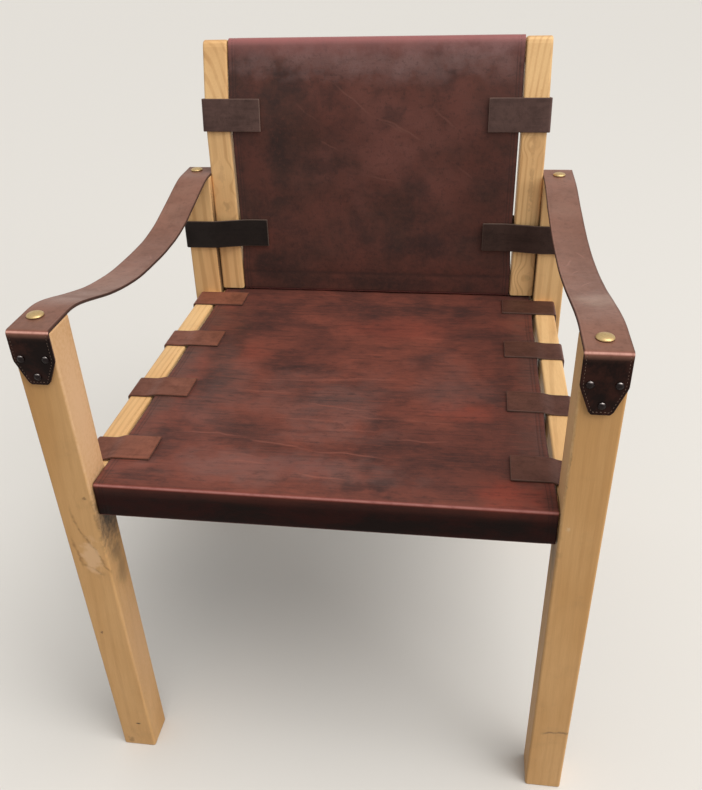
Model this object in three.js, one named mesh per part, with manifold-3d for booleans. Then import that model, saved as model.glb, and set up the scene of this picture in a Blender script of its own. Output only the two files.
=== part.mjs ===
// A sling lounge chair: a softwood frame with a leather seat, a leather back and two leather arm straps.
// Sizes are in millimetres. X runs to the right as seen from the front, Y to the back and Z up.
// Left and right are as seen from the front.
import * as THREE from "three";
import { mergeVertices } from "three/addons/utils/BufferGeometryUtils.js";
import Module from "manifold-3d";

const wasm = await Module();
wasm.setup();

const degrees = Math.PI / 180;

// Legs
const overallWidth = 604;
const legWidth = 45;
const legDepth = 45;
const armRise = 197; // from the seat to the front legs' tops
const rearLegDrop = 18; // from the front legs' tops to the rear legs' tops
const rearLegReach = 523; // from the front legs' front faces to the rear legs' front faces, at the floor
const rearLegLean = 3.2 * degrees;

// Seat frame, in line with the legs
const seatHeight = 460; // top of the rails at the front legs' front faces
const seatSlope = 1.15 * degrees; // falls to the back
const sideRailWidth = 30;
const sideRailHeight = 45;
const crossRailDepth = 32;
const crossRailHeight = 32;
const frontRailSetback = 10; // behind the front legs' front faces
const rearRailSetback = 7; // behind the rear legs' front faces

// Back frame, which stands against the rear legs' inner faces
const postWidth = 37;
const postSetback = 10.5; // behind the rear legs' front faces, and flush with their rear faces
const postFootRise = 3; // above the side rails' top
const postRise = 197; // above the rear legs' tops
const postBendDrop = 146; // from the post's top down to the start of its bend
const postBend = 76; // height of the bend
const postTopLean = 14.2 * degrees; // beyond the rear legs' lean
const postTopRound = 12;
const backRailDepth = 22;
const backRailHeight = 30;
const topRailRound = 9;

// Joints
const tenonThickness = 12;
const tenonHeight = 15;
const tenonLength = 22;
const tenonShoulder = 4; // from the rail's edge to its tenon
const dowelDiameter = 10;
const dowelLength = 40;
const dowelHeightShares = [0.2, 0.6]; // of the height that a post shares with its rear leg

// Leather
const seatLeather = 4;
const backLeather = 3.5;
const strapLeather = 3;
const armLeather = 3.5;
const bendRadius = 3.5; // of a strap's middle line round a corner
const seatSlingSideGap = 4.5; // from the seat's edges to the legs' inner faces
const seatBackGap = 0.4; // from the seat's leather to the back's lower sleeve, which it passes under
const backSlingSideGap = 3; // from the back's edges to the back posts
const backSlingRecess = 2.5; // behind the back posts' front faces
const backSlingRise = 2; // above the back posts' tops
const backSlingDrop = 2.4; // below the back posts' feet

// Straps that tie the seat and the back to the frame
const strapWidth = 48;
const seatStrapCount = 4;
const seatStrapFrontGap = 10.5; // from the front legs' rear faces to the first strap
const seatStrapRearGap = 6.5; // from the last strap to the rear legs' front faces
const strapLap = 45.5; // on the leather
const strapReturn = 16; // where a seat strap's lower layer meets the leather, inside its edge
const upperStrapDrop = 82; // from the posts' tops to the strap
const lowerStrapGap = 1; // from the longest rear tab's end to the strap
const backStrapSlack = 1.3; // round the curved posts

// Arm straps and their fastenings
const armWidth = 45;
const armTabTip = 21; // width of the tab's end
const armTabTaperShare = 0.54; // of the tab's length, where it starts to taper
const nailRowShares = [0.5, 0.5, 0.84]; // of the tab's length
const nailOffsets = [-13.3, 13.3, 0]; // from the tab's middle line
const armSettle = 55; // straight run off the front leg before the arm strap drops
const studHead = 18.5;
const studRise = 3.6;
const studShank = 2.4;
const studLength = 20;
const nailHead = 8;
const nailRise = 2.4;
const nailShank = 2;
const nailLength = 14;
const leftArmSag = 52.5;
const rightArmSag = 35;
const leftTabShare = 0.321; // length of a tab, of the height that a post shares with its rear leg
const rightTabShare = 0.353;
const leftFrontStud = [-6, 8]; // from the middle of the leg's top
const leftRearStud = [-5, 5];
const rightFrontStud = [-1, 1];
const rightRearStud = [1, -6];

// Finish and fit
const fitGap = 0.3; // between pieces that touch
const legRound = 3;
const railRound = 3;
const endEase = 1.5;
const overrun = 5; // of a cutting shape past the face that it cuts

// Places that follow from the sizes above
const frontLegHeight = seatHeight + armRise;
const rearLegHeight = frontLegHeight - rearLegDrop;
const innerHalf = overallWidth / 2 - legWidth;
const legMiddle = overallWidth / 2 - legWidth / 2;
const rearLegFace = (height) => rearLegReach + height * Math.tan(rearLegLean);
const railTopAt = (back) => seatHeight - back * Math.tan(seatSlope);
const legJunction = railTopAt(rearLegReach);
const seatDepth = rearLegFace(legJunction) / Math.cos(seatSlope);
const seatSlingHalf = innerHalf - seatSlingSideGap;
const postFoot = railTopAt(rearLegFace(legJunction)) + postFootRise;
const postFront = rearLegFace(postFoot) + postSetback;
const sharedHeight = (rearLegHeight - postFoot) / Math.cos(rearLegLean);
const postHeight = sharedHeight + postRise;
const postStraight = postHeight - postBendDrop;
const postDepth = legDepth - postSetback;
const upperStrapHeight = postHeight - upperStrapDrop - strapWidth / 2;
const leftTab = sharedHeight * leftTabShare;
const rightTab = sharedHeight * rightTabShare;
const lowerStrapTop = sharedHeight - Math.max(leftTab, rightTab) - lowerStrapGap;
const lowerStrapHeight = lowerStrapTop - strapWidth / 2;
const firstSeatStrap = legDepth + seatStrapFrontGap + strapWidth / 2;
const lastSeatStrap = seatDepth - seatStrapRearGap - strapWidth / 2;
const seatStrapPitch = (lastSeatStrap - firstSeatStrap) / (seatStrapCount - 1);
const postOuter = innerHalf - fitGap;
const postInner = postOuter - postWidth;
const backSlingHalf = postInner - backSlingSideGap;

// The arm straps have worn to different curves. The curve shares are of the run between the legs.
const armSides = [
  {
    side: "left",
    sign: -1,
    sag: leftArmSag,
    tab: leftTab,
    frontStud: leftFrontStud,
    rearStud: leftRearStud,
    curveShares: { low: 0.62, fall: 0.65, lift: 0.46, rest: 0.23 },
  },
  {
    side: "right",
    sign: 1,
    sag: rightArmSag,
    tab: rightTab,
    frontStud: rightFrontStud,
    rearStud: rightRearStud,
    curveShares: { low: 0.51, fall: 0.5, lift: 0.35, rest: 0.39 },
  },
];

const wood = (name, color) => ({ name, color, roughness: 0.62, metalness: 0 });
const leather = (name, color) => ({ name, color, roughness: 0.48, metalness: 0 });
const brass = { name: "brass", color: 0xb48a4a, roughness: 0.32, metalness: 1 };
const darkMetal = { name: "nail", color: 0x2c2624, roughness: 0.4, metalness: 0.9 };
const legWood = wood("leg_wood", 0xc99c63);
const railWood = wood("rail_wood", 0xdcb37a);
const postWood = wood("post_wood", 0xcfa066);
const seatHide = leather("seat_leather", 0x5a241d);
const backHide = leather("back_leather", 0x47241f);
const strapHide = leather("strap_leather", 0x463029);
const armHide = leather("arm_leather", 0x6b4238);

// Turns a closed geometry into a solid for joining and cutting.
function solidOf(geometry) {
  const plain = geometry.index ? geometry.toNonIndexed() : geometry.clone();
  plain.deleteAttribute("normal");
  plain.deleteAttribute("uv");
  const merged = mergeVertices(plain, 1e-3);
  return new wasm.Manifold(
    new wasm.Mesh({
      numProp: 3,
      vertProperties: merged.attributes.position.array,
      triVerts: new Uint32Array(merged.index.array),
    }),
  );
}

function geometryOf(solid) {
  const mesh = solid.getMesh();
  const geometry = new THREE.BufferGeometry();
  geometry.setAttribute("position", new THREE.BufferAttribute(mesh.vertProperties, 3));
  geometry.setIndex(new THREE.BufferAttribute(mesh.triVerts, 1));
  const faceted = geometry.toNonIndexed();
  faceted.computeVertexNormals();
  return faceted;
}

function join(geometry, ...others) {
  return geometryOf(others.reduce((whole, other) => whole.add(solidOf(other)), solidOf(geometry)));
}

function cut(geometry, ...tools) {
  return geometryOf(tools.reduce((rest, tool) => rest.subtract(solidOf(tool)), solidOf(geometry)));
}

// Cuts a mesh with a tool that is given in another object's frame.
function cutAcross(mesh, tool, frame) {
  const toMesh = mesh.matrixWorld.clone().invert().multiply(frame.matrixWorld);
  mesh.geometry = cut(mesh.geometry, tool.clone().applyMatrix4(toMesh));
}

function box(fromX, toX, fromY, toY, fromZ, toZ) {
  const block = new THREE.BoxGeometry(toX - fromX, toY - fromY, toZ - fromZ);
  return block.translate((fromX + toX) / 2, (fromY + toY) / 2, (fromZ + toZ) / 2);
}

function roundedRectangle(fromX, toX, fromY, toY, radius, topRadius = radius) {
  const shape = new THREE.Shape();
  shape.moveTo(fromX + radius, fromY);
  shape.absarc(toX - radius, fromY + radius, radius, -Math.PI / 2, 0);
  shape.absarc(toX - topRadius, toY - topRadius, topRadius, 0, Math.PI / 2);
  shape.absarc(fromX + topRadius, toY - topRadius, topRadius, Math.PI / 2, Math.PI);
  shape.absarc(fromX + radius, fromY + radius, radius, Math.PI, 1.5 * Math.PI);
  return shape;
}

// Profiles are drawn flat and carried along the third axis, between two places on it.
const sideView = new THREE.Matrix4().makeBasis(
  new THREE.Vector3(0, 1, 0),
  new THREE.Vector3(0, 0, 1),
  new THREE.Vector3(1, 0, 0),
);
const frontView = new THREE.Matrix4().makeBasis(
  new THREE.Vector3(1, 0, 0),
  new THREE.Vector3(0, 0, 1),
  new THREE.Vector3(0, -1, 0),
);

function extrude(shape, from, to, ease = 0) {
  const geometry = new THREE.ExtrudeGeometry(shape, {
    depth: to - from - 2 * ease,
    curveSegments: 4,
    bevelEnabled: ease > 0,
    bevelThickness: ease,
    bevelSize: ease,
    bevelOffset: -ease,
    bevelSegments: 3,
  });
  return geometry.translate(0, 0, from + ease);
}

function alongX(sideShape, fromX, toX, ease = 0) {
  return extrude(sideShape, fromX, toX, ease).applyMatrix4(sideView);
}

function alongY(frontShape, fromY, toY, ease = 0) {
  return extrude(frontShape, -toY, -fromY, ease).applyMatrix4(frontView);
}

function alongZ(planShape, fromZ, toZ, ease = 0) {
  return extrude(planShape, fromZ, toZ, ease);
}

function outline(points) {
  return new THREE.Shape(points.map(([x, y]) => new THREE.Vector2(x, y)));
}

// A path through corner points, with each corner rounded to its own radius or else to the given one.
function roundedPath(points, radius, path = new THREE.Path()) {
  const corners = points.map(([x, y]) => new THREE.Vector2(x, y));
  path.moveTo(corners[0].x, corners[0].y);
  corners.slice(1, -1).forEach((corner, i) => {
    const before = corners[i].clone().sub(corner);
    const after = corners[i + 2].clone().sub(corner);
    const reach = Math.min(points[i + 1][2] ?? radius, before.length() / 2, after.length() / 2);
    const enter = before.setLength(reach).add(corner);
    const leave = after.setLength(reach).add(corner);
    path.lineTo(enter.x, enter.y);
    if (reach > 0) path.quadraticCurveTo(corner.x, corner.y, leave.x, leave.y);
  });
  path.lineTo(corners.at(-1).x, corners.at(-1).y);
  return path;
}

// The edge view of a strip of leather: its middle line given a thickness, with mitred bends.
function ribbon(path, thickness, divisions = 4) {
  const line = path.getPoints(divisions);
  const points = line.filter((point, i) => i === 0 || point.distanceTo(line[i - 1]) > thickness * 1e-3);
  const sideways = points.map((point, i) => {
    const before = point.clone().sub(points[Math.max(i - 1, 0)]).normalize();
    const after = points[Math.min(i + 1, points.length - 1)].clone().sub(point).normalize();
    const along = before.clone().add(after).normalize();
    const mitre = Math.max(along.dot(i === 0 ? after : before), 0.5);
    return new THREE.Vector2(-along.y, along.x).multiplyScalar(thickness / 2 / mitre);
  });
  const left = points.map((point, i) => point.clone().add(sideways[i]));
  const right = points.map((point, i) => point.clone().sub(sideways[i]));
  const shape = new THREE.Shape([...left, ...right.reverse()]);
  return shape;
}

// The outside of a sleeve round a rail's section, and its bore.
function sleeveOutside(fromY, toY, fromZ, toZ, thickness) {
  const wall = fitGap + thickness;
  return { from: fromY - wall, to: toY + wall, low: fromZ - wall, high: toZ + wall };
}

function sleeveBore({ from, to, low, high }, round, thickness, topRound = round) {
  return roundedRectangle(
    from + thickness,
    to - thickness,
    low + thickness,
    high - thickness,
    round + fitGap,
    topRound + fitGap,
  );
}

function mesh(name, geometry, finish) {
  const { color, roughness, metalness } = finish;
  const material = new THREE.MeshStandardMaterial({ color, roughness, metalness, name: finish.name });
  const piece = new THREE.Mesh(geometry, material);
  piece.name = name;
  return piece;
}

// Pieces of the wooden frame

// Leans an upright shape back, with its ends still level.
function leant(geometry, lean) {
  const rise = Math.tan(lean);
  return geometry.applyMatrix4(new THREE.Matrix4().set(1, 0, 0, 0, 0, 1, rise, 0, 0, 0, 1, 0, 0, 0, 0, 1));
}

function makeLeg(name, height, lean) {
  const section = roundedRectangle(-legWidth / 2, legWidth / 2, 0, legDepth, legRound);
  return mesh(name, leant(alongZ(section, 0, height, endEase), lean), legWood);
}

// The space of a leg and the gap round it, which trims what butts against the leg.
function legSpace(height, lean) {
  const space = box(
    -legWidth / 2 - fitGap,
    legWidth / 2 + fitGap,
    -fitGap,
    legDepth + fitGap,
    0,
    height,
  );
  return leant(space, lean);
}

// Tenons are boxes with their ends grown by a clearance when they cut their mortises.
const sideRailX = (sign) => sign * (innerHalf + sideRailWidth / 2);
const sideTenonLow = -sideRailHeight + tenonShoulder;

function sideRailTenon(sign, atFront, grow) {
  const middle = sideRailX(sign);
  const butt = atFront ? legDepth : seatDepth;
  const from = atFront ? butt - tenonLength : butt - tenonLength / 2;
  const to = atFront ? butt + tenonLength / 2 : butt + tenonLength;
  return box(
    middle - tenonThickness / 2 - grow,
    middle + tenonThickness / 2 + grow,
    from - grow,
    to + grow,
    sideTenonLow - grow,
    sideTenonLow + tenonHeight + grow,
  );
}

function makeSideRail(side, sign) {
  const half = sideRailWidth / 2;
  const section = roundedRectangle(-half, half, -sideRailHeight, 0, railRound);
  const bar = alongY(section, legDepth / 2, seatDepth + legDepth / 2);
  return mesh("side_rail_" + side, bar.translate(sideRailX(sign), 0, 0), railWood);
}

// The rear rail lies low enough for the seat's leather to pass under the back's lower sleeve.
const backRailFront = backSlingRecess + backLeather + fitGap;
const backRailSpan = { from: backRailFront, to: backRailFront + backRailDepth };
const backSleeveRear = backRailSpan.to + fitGap + backLeather;
const sleeveLowBack = backSleeveRear * Math.cos(rearLegLean) - backSlingDrop * Math.sin(rearLegLean);
const sleeveLowFall = backSleeveRear * Math.sin(rearLegLean) + backSlingDrop * Math.cos(rearLegLean);
const sleeveLow = postFoot - sleeveLowFall - railTopAt(postFront + sleeveLowBack);
const rearRailTop = sleeveLow * Math.cos(seatSlope) - seatBackGap - seatLeather - fitGap;

const crossRailSpan = (from, top) => ({ from, to: from + crossRailDepth, top });
const frontRailSpan = crossRailSpan(frontRailSetback, 0);
const rearRailSpan = crossRailSpan(seatDepth + rearRailSetback, rearRailTop);

function crossRailTenons(span, grow) {
  const middle = (span.from + span.to) / 2;
  const reach = innerHalf + tenonLength;
  const top = span.top - tenonShoulder;
  return box(
    -reach - grow,
    reach + grow,
    middle - tenonThickness / 2 - grow,
    middle + tenonThickness / 2 + grow,
    top - tenonHeight - grow,
    top + grow,
  );
}

function makeCrossRail(name, span) {
  const section = roundedRectangle(span.from, span.to, span.top - crossRailHeight, span.top, railRound);
  const bar = alongX(section, -innerHalf + fitGap, innerHalf - fitGap);
  return mesh(name, join(bar, crossRailTenons(span, 0)), railWood);
}

// The front edge of a back post, from its foot up, in the back frame's own frame.
const postBendTop = postStraight + postBend;
const postBendBack = (postBend / 2) * Math.tan(postTopLean);
const postTopBack = postBendBack + (postHeight - postBendTop) * Math.tan(postTopLean);

function postEdge(offset, fromHeight, toHeight) {
  const back = offset * Math.cos(postTopLean) + postBendBack;
  const bendTop = postBendTop - offset * Math.sin(postTopLean);
  const corner = postStraight + postBend / 2 - offset * Math.tan(postTopLean / 2);
  const rest = toHeight - postBendTop;
  const path = new THREE.Path();
  path.moveTo(offset, fromHeight);
  path.lineTo(offset, postStraight);
  path.quadraticCurveTo(offset, corner, back, bendTop);
  path.lineTo(back + rest * Math.tan(postTopLean), bendTop + rest);
  return path;
}

function makePost(side, sign) {
  const front = postEdge(0, 0, postHeight - postTopRound).getPoints(6);
  const rear = postEdge(postDepth, 0, postHeight - postTopRound).getPoints(6);
  const shape = new THREE.Shape(front);
  const up = new THREE.Vector2(Math.sin(postTopLean), Math.cos(postTopLean)).multiplyScalar(postTopRound);
  const frontCorner = front.at(-1).clone().add(up);
  const rearCorner = rear.at(-1).clone().add(up);
  const inward = rearCorner.clone().sub(frontCorner).setLength(postTopRound);
  shape.quadraticCurveTo(frontCorner.x, frontCorner.y, frontCorner.x + inward.x, frontCorner.y + inward.y);
  shape.lineTo(rearCorner.x - inward.x, rearCorner.y - inward.y);
  shape.quadraticCurveTo(rearCorner.x, rearCorner.y, rear.at(-1).x, rear.at(-1).y);
  rear.reverse().forEach((point) => shape.lineTo(point.x, point.y));
  const from = sign > 0 ? postInner : -postOuter;
  return mesh("back_post_" + side, alongX(shape, from, from + postWidth, legRound), postWood);
}

// Both back rails are drawn in a frame of their own: Y back from the posts' front faces, Z up their slope.
function makeBackRail(name, low, topRound) {
  const section = roundedRectangle(
    backRailSpan.from,
    backRailSpan.to,
    low,
    low + backRailHeight,
    railRound,
    topRound,
  );
  const bar = alongX(section, -postInner + fitGap, postInner - fitGap);
  return mesh(name, join(bar, backRailTenons(low, 0)), railWood);
}

function backRailTenons(low, grow) {
  const middle = (backRailSpan.from + backRailSpan.to) / 2;
  const centre = low + backRailHeight / 2;
  const reach = postInner + tenonLength;
  return box(
    -reach - grow,
    reach + grow,
    middle - tenonThickness / 2 - grow,
    middle + tenonThickness / 2 + grow,
    centre - tenonHeight / 2 - grow,
    centre + tenonHeight / 2 + grow,
  );
}

const bottomRailLow = backLeather + fitGap - backSlingDrop;
const topRailLow = backSlingRise - backLeather - fitGap - backRailHeight;

function dowel(grow) {
  const pin = new THREE.CylinderGeometry(
    dowelDiameter / 2 + grow,
    dowelDiameter / 2 + grow,
    dowelLength + 2 * grow,
    16,
  );
  return pin.rotateZ(Math.PI / 2);
}

// Leather pieces

// How far the seat's leather has fallen below the level of the front rail, along its straight run.
const seatRun = {
  from: frontRailSpan.to + fitGap + 2 * seatLeather,
  to: rearRailSpan.to + fitGap + seatLeather,
};
const seatFall = (back) => (-rearRailTop * (back - seatRun.from)) / (seatRun.to - seatRun.from);

// Each sling is one sheet whose ends are sewn into sleeves round its rails.
function crossRailSleeve({ from, to, top }) {
  return sleeveOutside(from, to, top - crossRailHeight, top, seatLeather);
}

function makeSeatSling() {
  const front = crossRailSleeve(frontRailSpan);
  const rear = crossRailSleeve(rearRailSpan);
  const corners = [
    [seatRun.from, front.high],
    [front.from, front.high],
    [front.from, front.low],
    [front.to, front.low],
    [front.to, fitGap, 0],
    [rear.from, fitGap - seatFall(rear.from), 0],
    [rear.from, rear.low],
    [rear.to, rear.low],
    [rear.to, rear.high],
    [seatRun.from, front.high],
  ];
  const profile = roundedPath(corners, railRound + seatLeather, new THREE.Shape());
  profile.holes.push(
    sleeveBore(front, railRound, seatLeather),
    sleeveBore(rear, railRound, seatLeather),
  );
  return mesh("seat_sling", alongX(profile, -seatSlingHalf, seatSlingHalf), seatHide);
}

function makeBackSling() {
  const { from: railFront, to: railBack } = backRailSpan;
  const bottom = sleeveOutside(
    railFront,
    railBack,
    bottomRailLow,
    bottomRailLow + backRailHeight,
    backLeather,
  );
  const top = sleeveOutside(railFront, railBack, topRailLow, topRailLow + backRailHeight, backLeather);
  const atTop = (y, z, ...round) => {
    const point = new THREE.Vector2(y, z).rotateAround(new THREE.Vector2(), -postTopLean);
    return [point.x + postTopBack, point.y + postHeight, ...round];
  };
  const faceAt = (depth) => postEdge(depth, 0, postHeight).getPoints(6).slice(1, -1);
  const frontFace = faceAt(backSlingRecess).map(({ x, y }) => [x, y, 0]);
  const rearFace = faceAt(backSlingRecess + backLeather).map(({ x, y }) => [x, y, 0]);
  const topCorner = topRailRound + backLeather;
  const middle = [(bottom.from + bottom.to) / 2, bottom.low];
  const corners = [
    middle,
    [bottom.from, bottom.low],
    ...frontFace,
    atTop(top.from, top.high, topCorner),
    atTop(top.to, top.high, topCorner),
    atTop(top.to, top.low),
    atTop(top.from + backLeather, top.low, 0),
    ...rearFace.reverse(),
    [bottom.from + backLeather, bottom.high, 0],
    [bottom.to, bottom.high],
    [bottom.to, bottom.low],
    middle,
  ];
  const profile = roundedPath(corners, railRound + backLeather, new THREE.Shape());
  const topBore = sleeveBore(top, railRound, backLeather, topRailRound).getPoints(4);
  profile.holes.push(
    sleeveBore(bottom, railRound, backLeather),
    new THREE.Path(topBore.map(({ x, y }) => new THREE.Vector2(...atTop(x, y)))),
  );
  return mesh("back_sling", alongX(profile, -backSlingHalf, backSlingHalf), backHide);
}

// A seat strap lies on the leather, wraps the side rail and comes back under the leather.
function makeSeatStrap(side, sign, number) {
  const middle = firstSeatStrap + (number - 1) * seatStrapPitch;
  const half = strapLeather / 2;
  const onRail = fitGap + half;
  const onLeather = 2 * fitGap + seatLeather + half - seatFall(middle - strapWidth / 2);
  const leatherTop = Math.max(onLeather, onRail);
  const leatherBottom = -half - seatFall(middle + strapWidth / 2);
  const outer = innerHalf + sideRailWidth + fitGap + half;
  const bottom = -sideRailHeight - fitGap - half;
  const path = [
    [seatSlingHalf - strapLap, leatherTop],
    [seatSlingHalf + strapLeather, leatherTop],
    [innerHalf + strapLeather, onRail],
    [outer, onRail],
    [outer, bottom],
    [innerHalf - fitGap - half, bottom],
    [seatSlingHalf - strapReturn, leatherBottom],
    [seatSlingHalf - strapLap, leatherBottom],
  ];
  const shape = ribbon(roundedPath(path.map(([x, z]) => [x * sign, z]), bendRadius), strapLeather);
  const strap = alongY(shape, -strapWidth / 2, strapWidth / 2);
  const piece = mesh(["seat_strap", side, number].join("_"), strap, strapHide);
  piece.position.y = middle;
  return piece;
}

// A back strap lies on the leather, wraps what stands beside it and comes back behind the leather.
function backStrapShape(sign, outerX, frontY, rearY, bridgeX) {
  const half = strapLeather / 2;
  const clear = backStrapSlack + half;
  const leatherFront = backSlingRecess - clear;
  const leatherRear = backSlingRecess + backLeather + clear;
  const path = [
    [backSlingHalf - strapLap, leatherFront],
    [backSlingHalf, leatherFront],
    [bridgeX, frontY - clear],
    [outerX + clear, frontY - clear],
    [outerX + clear, rearY + clear],
    [postInner - clear, rearY + clear],
    [backSlingHalf - strapReturn, leatherRear],
    [backSlingHalf - strapLap, leatherRear],
  ];
  return ribbon(roundedPath(path.map(([x, y]) => [x * sign, y]), bendRadius), strapLeather);
}

function makeBackStrap(level, side, sign) {
  const upper = level === "upper";
  const shape = upper
    ? backStrapShape(sign, postOuter, 0, postDepth, postInner)
    : backStrapShape(sign, innerHalf + legWidth, -postSetback, postDepth, innerHalf);
  const strap = alongZ(shape, -strapWidth / 2, strapWidth / 2);
  return mesh(["back_strap", level, side].join("_"), strap, strapHide);
}

// An arm strap runs over both legs' tops, sags between them and is folded down on their outer faces.
function armPath({ sag, tab, curveShares }) {
  const clear = fitGap + armLeather / 2;
  const frontTop = frontLegHeight + clear;
  const rearTop = rearLegHeight + clear;
  const rearFront = rearLegFace(rearLegHeight);
  const rearBack = rearFront + legDepth + clear;
  const span = rearFront - legDepth;
  const low = legDepth + span * curveShares.low;
  const lowest = frontTop - sag;
  const fall = low - legDepth;
  const rise = rearFront - low;
  const path = new THREE.Path();
  path.moveTo(-clear, frontTop - tab);
  path.lineTo(-clear, frontTop - bendRadius);
  path.quadraticCurveTo(-clear, frontTop, -clear + bendRadius, frontTop);
  path.lineTo(legDepth, frontTop);
  const steep = low - fall * curveShares.fall;
  const leaves = low + rise * curveShares.lift;
  const arrives = rearFront - rise * curveShares.rest;
  path.bezierCurveTo(legDepth + armSettle, frontTop, steep, lowest, low, lowest);
  path.bezierCurveTo(leaves, lowest, arrives, rearTop, rearFront, rearTop);
  path.lineTo(rearBack - bendRadius, rearTop);
  path.quadraticCurveTo(rearBack, rearTop, rearBack, rearTop - bendRadius);
  path.lineTo(rearBack - tab * Math.tan(rearLegLean), rearTop - tab);
  return path;
}

// What is cut away beside a tab to leave its tapered end.
function tabTaper(tab, top, fromY, toY) {
  const start = top - tab * armTabTaperShare;
  const end = top - tab;
  return [-1, 1].map((sign) => {
    const corner = [
      [(sign * armWidth) / 2, start],
      [sign * (armWidth / 2 + overrun), start],
      [sign * (armWidth / 2 + overrun), end - overrun],
      [(sign * armTabTip) / 2, end - overrun],
      [(sign * armTabTip) / 2, end],
    ];
    return alongY(outline(sign > 0 ? corner.reverse() : corner), fromY, toY);
  });
}

function makeArmStrap(arm) {
  const strip = alongX(ribbon(armPath(arm), armLeather, 14), -armWidth / 2, armWidth / 2);
  const frontTop = frontLegHeight + fitGap + armLeather / 2;
  const rearTop = rearLegHeight + fitGap + armLeather / 2;
  const rearBack = rearLegFace(rearLegHeight - arm.tab) + legDepth;
  const geometry = cut(
    strip,
    ...tabTaper(arm.tab, frontTop, -armLeather - overrun, 0),
    ...tabTaper(arm.tab, rearTop, rearBack, rearBack + armLeather + 2 * overrun),
  );
  const piece = mesh("arm_strap_" + arm.side, geometry, armHide);
  piece.position.x = arm.sign * legMiddle;
  return piece;
}

// A domed head on a round shank, with its axis on Z and the underside of the head at zero.
function domedFastener(head, rise, shank, length) {
  const dome = new THREE.EllipseCurve(0, 0, head / 2, rise, 0, Math.PI / 2);
  const profile = [
    new THREE.Vector2(0, -length),
    new THREE.Vector2(shank / 2, -length + shank),
    new THREE.Vector2(shank / 2, 0),
    ...dome.getPoints(4).slice(0, -1),
    new THREE.Vector2(0, rise),
  ];
  return new THREE.LatheGeometry(profile, 16).rotateX(Math.PI / 2);
}

function pilotHole(shank, length) {
  const radius = shank / 2 + fitGap;
  const hole = new THREE.CylinderGeometry(radius, radius, length + 2 * overrun, 12);
  return hole.rotateX(Math.PI / 2).translate(0, 0, (-length - fitGap) / 2 + overrun - fitGap);
}

// Assembly

const chair = new THREE.Group();
const seatFrame = new THREE.Group();
seatFrame.position.z = seatHeight;
seatFrame.rotation.x = -seatSlope;
chair.add(seatFrame);

const backFrame = new THREE.Group();
backFrame.position.set(0, postFront, postFoot);
backFrame.rotation.x = -rearLegLean;
chair.add(backFrame);

// The frame of the posts' tops, where the top rail lies: its origin is on their front edge.
const topFrame = new THREE.Group();
topFrame.position.set(0, postTopBack, postHeight);
topFrame.rotation.x = -postTopLean;
backFrame.add(topFrame);

// The upper straps lie square to the chord of the bend that they cover.
const upperStrapFrame = new THREE.Group();
const strapEdge = postEdge(0, 0, postHeight).getPoints(24);
const edgeAt = (height) => {
  const next = strapEdge.findIndex((point) => point.y >= height);
  const [low, high] = [strapEdge[next - 1], strapEdge[next]];
  return low.x + ((high.x - low.x) * (height - low.y)) / (high.y - low.y);
};
const chordFoot = edgeAt(upperStrapHeight - strapWidth / 2);
const chordHead = edgeAt(upperStrapHeight + strapWidth / 2);
upperStrapFrame.position.set(0, (chordFoot + chordHead) / 2, upperStrapHeight);
upperStrapFrame.rotation.x = -Math.atan2(chordHead - chordFoot, strapWidth);
backFrame.add(upperStrapFrame);

const lowerStrapFrame = new THREE.Group();
lowerStrapFrame.position.z = lowerStrapHeight;
backFrame.add(lowerStrapFrame);

const frontRail = makeCrossRail("front_rail", frontRailSpan);
const rearRail = makeCrossRail("rear_rail", rearRailSpan);
const bottomRail = makeBackRail("back_bottom_rail", bottomRailLow, railRound);
const topRail = makeBackRail("back_top_rail", topRailLow, topRailRound);
seatFrame.add(frontRail, rearRail, makeSeatSling());
backFrame.add(bottomRail, makeBackSling());
topFrame.add(topRail);

function fasten(carriers, fastener, hole) {
  fastener.updateMatrixWorld(true);
  carriers.forEach((carrier) => cutAcross(carrier, hole, fastener));
}

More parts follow.
